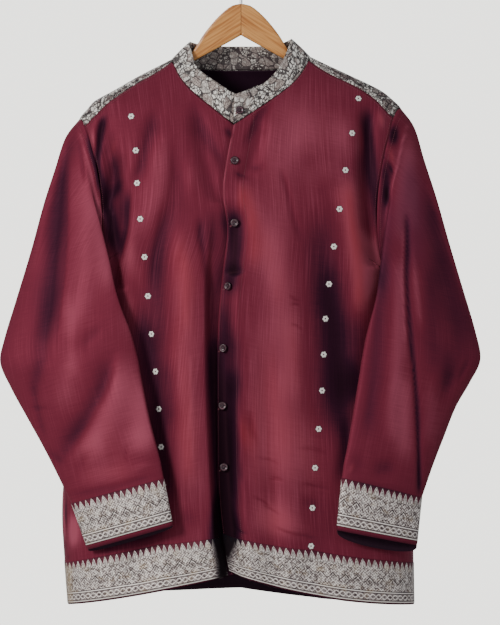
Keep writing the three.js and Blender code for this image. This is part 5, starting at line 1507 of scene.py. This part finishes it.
outer, eyeRadius, outline = butiLook["radius"], butiLook["eye"], butiLook["outline"]
silver = rosette("silver rosette", [(eyeRadius, 0.0), (1.5, 0.22), (2.4, butiLook["raise"]), (3.1, 0.24), (outer, 0.0)],
                 butiLook["lobe"])
rim = rosette("rosette rim", [(outer - 0.1, 0.02), (outer + outline * 0.5, 0.1), (outer + outline, 0.0)],
              butiLook["lobe"])
eye = rosette("rosette eye", [(0.15, 0.1), (0.6, 0.08), (eyeRadius + 0.1, 0.02)])
for name, places in butiPlaces.items():
    hits = [onCloth(name, x, z) for x, z in places]
    path = [([place for place, _ in hits], [normal for _, normal in hits], [butiLook["along"]] * len(hits))]
    for kind, part, material, slot in (("butis", silver, paleThread, "brocade"),
                                       ("buti_rims", rim, darkThread, "dark_silk"),
                                       ("buti_eyes", eye, darkThread, "dark_silk")):
        obj = repeatPart(f"{name}_{kind}", path, part, material, slot)
        layDown(obj, name)
        trims[name].append(obj)
print("stitches and butis made")

# Buttons: turned shells with a raised rim in a lighter painted sheen, four holes and a crossed thread, over slanting
# buttonholes.
buttonLook = {
    "profile": [(0.02, 1.55), (2.2, 1.55), (3.2, 1.75), (3.9, 2.35), (4.6, 2.6), (5.25, 2.5), (5.65, 2.05), (5.75, 1.4),
                (5.5, 0.6), (4.6, 0.1), (0.02, 0)],
    "rimRows": (2, 4), "turns": 32, "depth": 1.3, "holeAt": 1.15, "holeTurns": 10,
    "hole": [(0.62, 1.56), (0.5, 1.62), (0.05, 1.6)], "threadTurns": 6, "threadRings": 7, "thread": 0.3,
    "threadHeight": 1.55, "threadRise": 0.55,
}
buttonhole = {"length": 13, "from": -0.62, "to": 0.38, "places": 15, "lean": math.radians(42), "half": 0.55,
              "lift": 0.1, "stitch": (1.3, 0.5, 0.26), "spacing": 0.62}


def turnedPoints(profile, count, x=0.0, y=0.0):
    return [(x + r * math.cos(a), y + r * math.sin(a), h) for r, h in profile for a in anglesOf(count)]


def addButton(name, panel, node):
    low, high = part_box(node)
    middle = (low + high) / 2 / metre
    _, normal = onCloth(panel, middle.x, middle.z)
    across = -normal.cross(Vector((0, 0, 1))).normalized()
    upward = normal.cross(across)
    upward = -upward if upward.z < 0 else upward
    seat = middle - normal * buttonLook["depth"]
    turns, holeAt, thread = buttonLook["turns"], buttonLook["holeAt"], buttonLook["thread"]
    points, faces = turnedPoints(buttonLook["profile"], turns), ringFaces(len(buttonLook["profile"]), turns)
    rimStart, rimEnd = (row * turns for row in buttonLook["rimRows"])
    # the rim's faces take the lighter painted sheen
    kinds = [1 if rimStart <= i < rimEnd else 0 for i in range(len(faces))]

    def join(more, rings, count, capped):
        made = ringFaces(rings, count, capped, capped)
        faces.extend(tuple(len(points) + i for i in face) for face in made)
        kinds.extend([2] * len(made))
        points.extend(more)

    for x, y in ((1, 1), (-1, 1), (-1, -1), (1, -1)):
        hole = turnedPoints(buttonLook["hole"], buttonLook["holeTurns"], x * holeAt, y * holeAt)
        join(hole, len(buttonLook["hole"]), buttonLook["holeTurns"], False)
    for x in (1, -1):
        strand = [(x * (t * holeAt - thread * math.cos(a)), t * holeAt + thread * math.cos(a),
                   buttonLook["threadHeight"] + buttonLook["threadRise"] * (1 - t * t) + thread * math.sin(a))
                  for t in np.linspace(-1, 1, buttonLook["threadRings"]) for a in anglesOf(buttonLook["threadTurns"])]
        join(strand, buttonLook["threadRings"], buttonLook["threadTurns"], True)
    placed = [tuple(seat + across * x + upward * y + normal * z) for x, y, z in points]
    obj = addMesh(name, placed, faces, [buttonShell, buttonRingSheen, darkThread], np.array(kinds))
    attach(obj, "root")
    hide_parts(node)
    trims[panel].append(obj)
    return middle


def buttonholePaths(panel, middle):  # the two long sides of a buttonhole, with stitches set across them
    cos, sin = math.cos(buttonhole["lean"]), math.sin(buttonhole["lean"])
    run = np.linspace(buttonhole["from"], buttonhole["to"], buttonhole["places"]) * buttonhole["length"]
    paths = []
    for half in (-buttonhole["half"], buttonhole["half"]):
        spots = [onCloth(panel, middle.x + t * cos - half * sin, middle.z + t * sin + half * cos) for t in run]
        outs = [normal for _, normal in spots]
        paths.append(([place + normal * buttonhole["lift"] for place, normal in spots], outs,
                      [normal.cross(Vector((cos, 0, sin))) for normal in outs]))
    return paths


holeStitch = stitchPart("buttonhole stitch", *buttonhole["stitch"])
for node in ["button_collar"] + [f"button_{i}" for i in range(1, 7)]:
    panel = "collar" if node == "button_collar" else "front_left"
    middle = addButton(node.replace("button", "shirt_button"), panel, node)
    trims[panel].append(repeatPart(node.replace("button", "buttonhole"), buttonholePaths(panel, middle), holeStitch,
                                   silkThread, "silk", buttonhole["spacing"]))
for part in (silkStitch, silver, rim, eye, holeStitch):
    bpy.data.objects.remove(part)
print("buttons and buttonholes made")

# Each cloth piece's flat width, length and area, in metres, then how it is held and by what.
cuts = {
    "front_left": (0.316, 0.756, 0.189, "hung", ["yoke"]),
    "front_right": (0.323, 0.745, 0.182, "hung", ["yoke"]),
    "back": (0.530, 0.661, 0.305, "hung", ["yoke"]),
    "sleeve_right": (0.532, 0.648, 0.173, "hung", ["yoke", "front_right", "back"]),
    "sleeve_left": (0.563, 0.651, 0.157, "hung", ["yoke", "front_left", "back"]),
    "yoke": (0.550, 0.144, 0.053, "draped", ["yoke_facing"]),
    "yoke_facing": (0.550, 0.144, 0.053, "draped", ["hanger_arm_right", "hanger_arm_left"]),
    "collar": (0.577, 0.042, 0.016, "hung", ["yoke"]),
}
for name, (width, length, area, held, under) in cuts.items():
    under = [clothPieces.get(other, other) for other in under]

# Camera, light and the plain pale room
view = {"place": (0.0124, -12, -0.483), "height": 0.8625, "distance": 11.95, "film": 36}
room = {"wall": "#e1e0db", "wallGlow": 3.3, "fill": (0.9, 0.93, 1, 1), "fillGlow": 0.4, "floorZ": -1.25,
        "floorRadius": 3, "floorPale": "#dcdcd7", "floorDeep": "#d4d4cf"}
# Each lamp's place, what it is aimed at, its size, its power and its tint.
lamps = {
    "key": ((-3.0, -3.4, 1.0), (0, 0, -0.45), 1.4, 150, (1, 0.98, 0.95)),
    "fill": ((2.4, -4.5, 0.4), (0, 0, -0.5), 2.4, 22, (0.95, 0.97, 1)),
    "rim": ((-1.2, 2.6, 1.4), (0, 0, -0.3), 1.4, 22, (1, 1, 1)),
}
camera = intoScene(bpy.data.objects.new("camera", bpy.data.cameras.new("camera")))
camera.location = view["place"]
camera.rotation_euler = (math.pi / 2, 0, 0)
camera.data.lens = view["film"] * view["distance"] / view["height"]
camera.data.clip_end = 100
bpy.context.scene.camera = camera

for name, (place, aim, size, power, tint) in lamps.items():
    light = bpy.data.lights.new(name, "AREA")
    light.shape, light.size, light.energy, light.color = "DISK", size, power, tint
    lamp = intoScene(bpy.data.objects.new(name, light))
    lamp.location = place
    lamp.rotation_euler = (Vector(aim) - Vector(place)).to_track_quat("-Z", "Y").to_euler()

world = bpy.data.worlds.new("room")
world.use_nodes = True
bpy.context.scene.world = world
air = Graph(world.node_tree)
seen, glow = (air.add("ShaderNodeBackground", {}, {"Color": tint, "Strength": strength}).outputs[0]
              for tint, strength in ((colour(room["wall"]), room["wallGlow"]), (room["fill"], room["fillGlow"])))
rays = air.add("ShaderNodeLightPath").outputs["Is Camera Ray"]
both = air.add("ShaderNodeMixShader", {}, {0: rays, 1: glow, 2: seen}).outputs[0]
air.add("ShaderNodeOutputWorld", {}, {"Surface": both})

floorMesh = bmesh.new()
bmesh.ops.create_circle(floorMesh, cap_ends=True, segments=64, radius=room["floorRadius"])
floorData = bpy.data.meshes.new("floor")
floorMesh.to_mesh(floorData)
floorMesh.free()
floorLook = Finish("pale floor")
x, y, _ = floorLook.place()
cloud = floorLook.noise(x * 0.004, y * 0.004)
floorData.materials.append(floorLook.finish(floorLook.blend(room["floorPale"], room["floorDeep"], cloud), 0.8))
floor = intoScene(bpy.data.objects.new("floor", floorData))
floor.location = (0, 0, room["floorZ"])
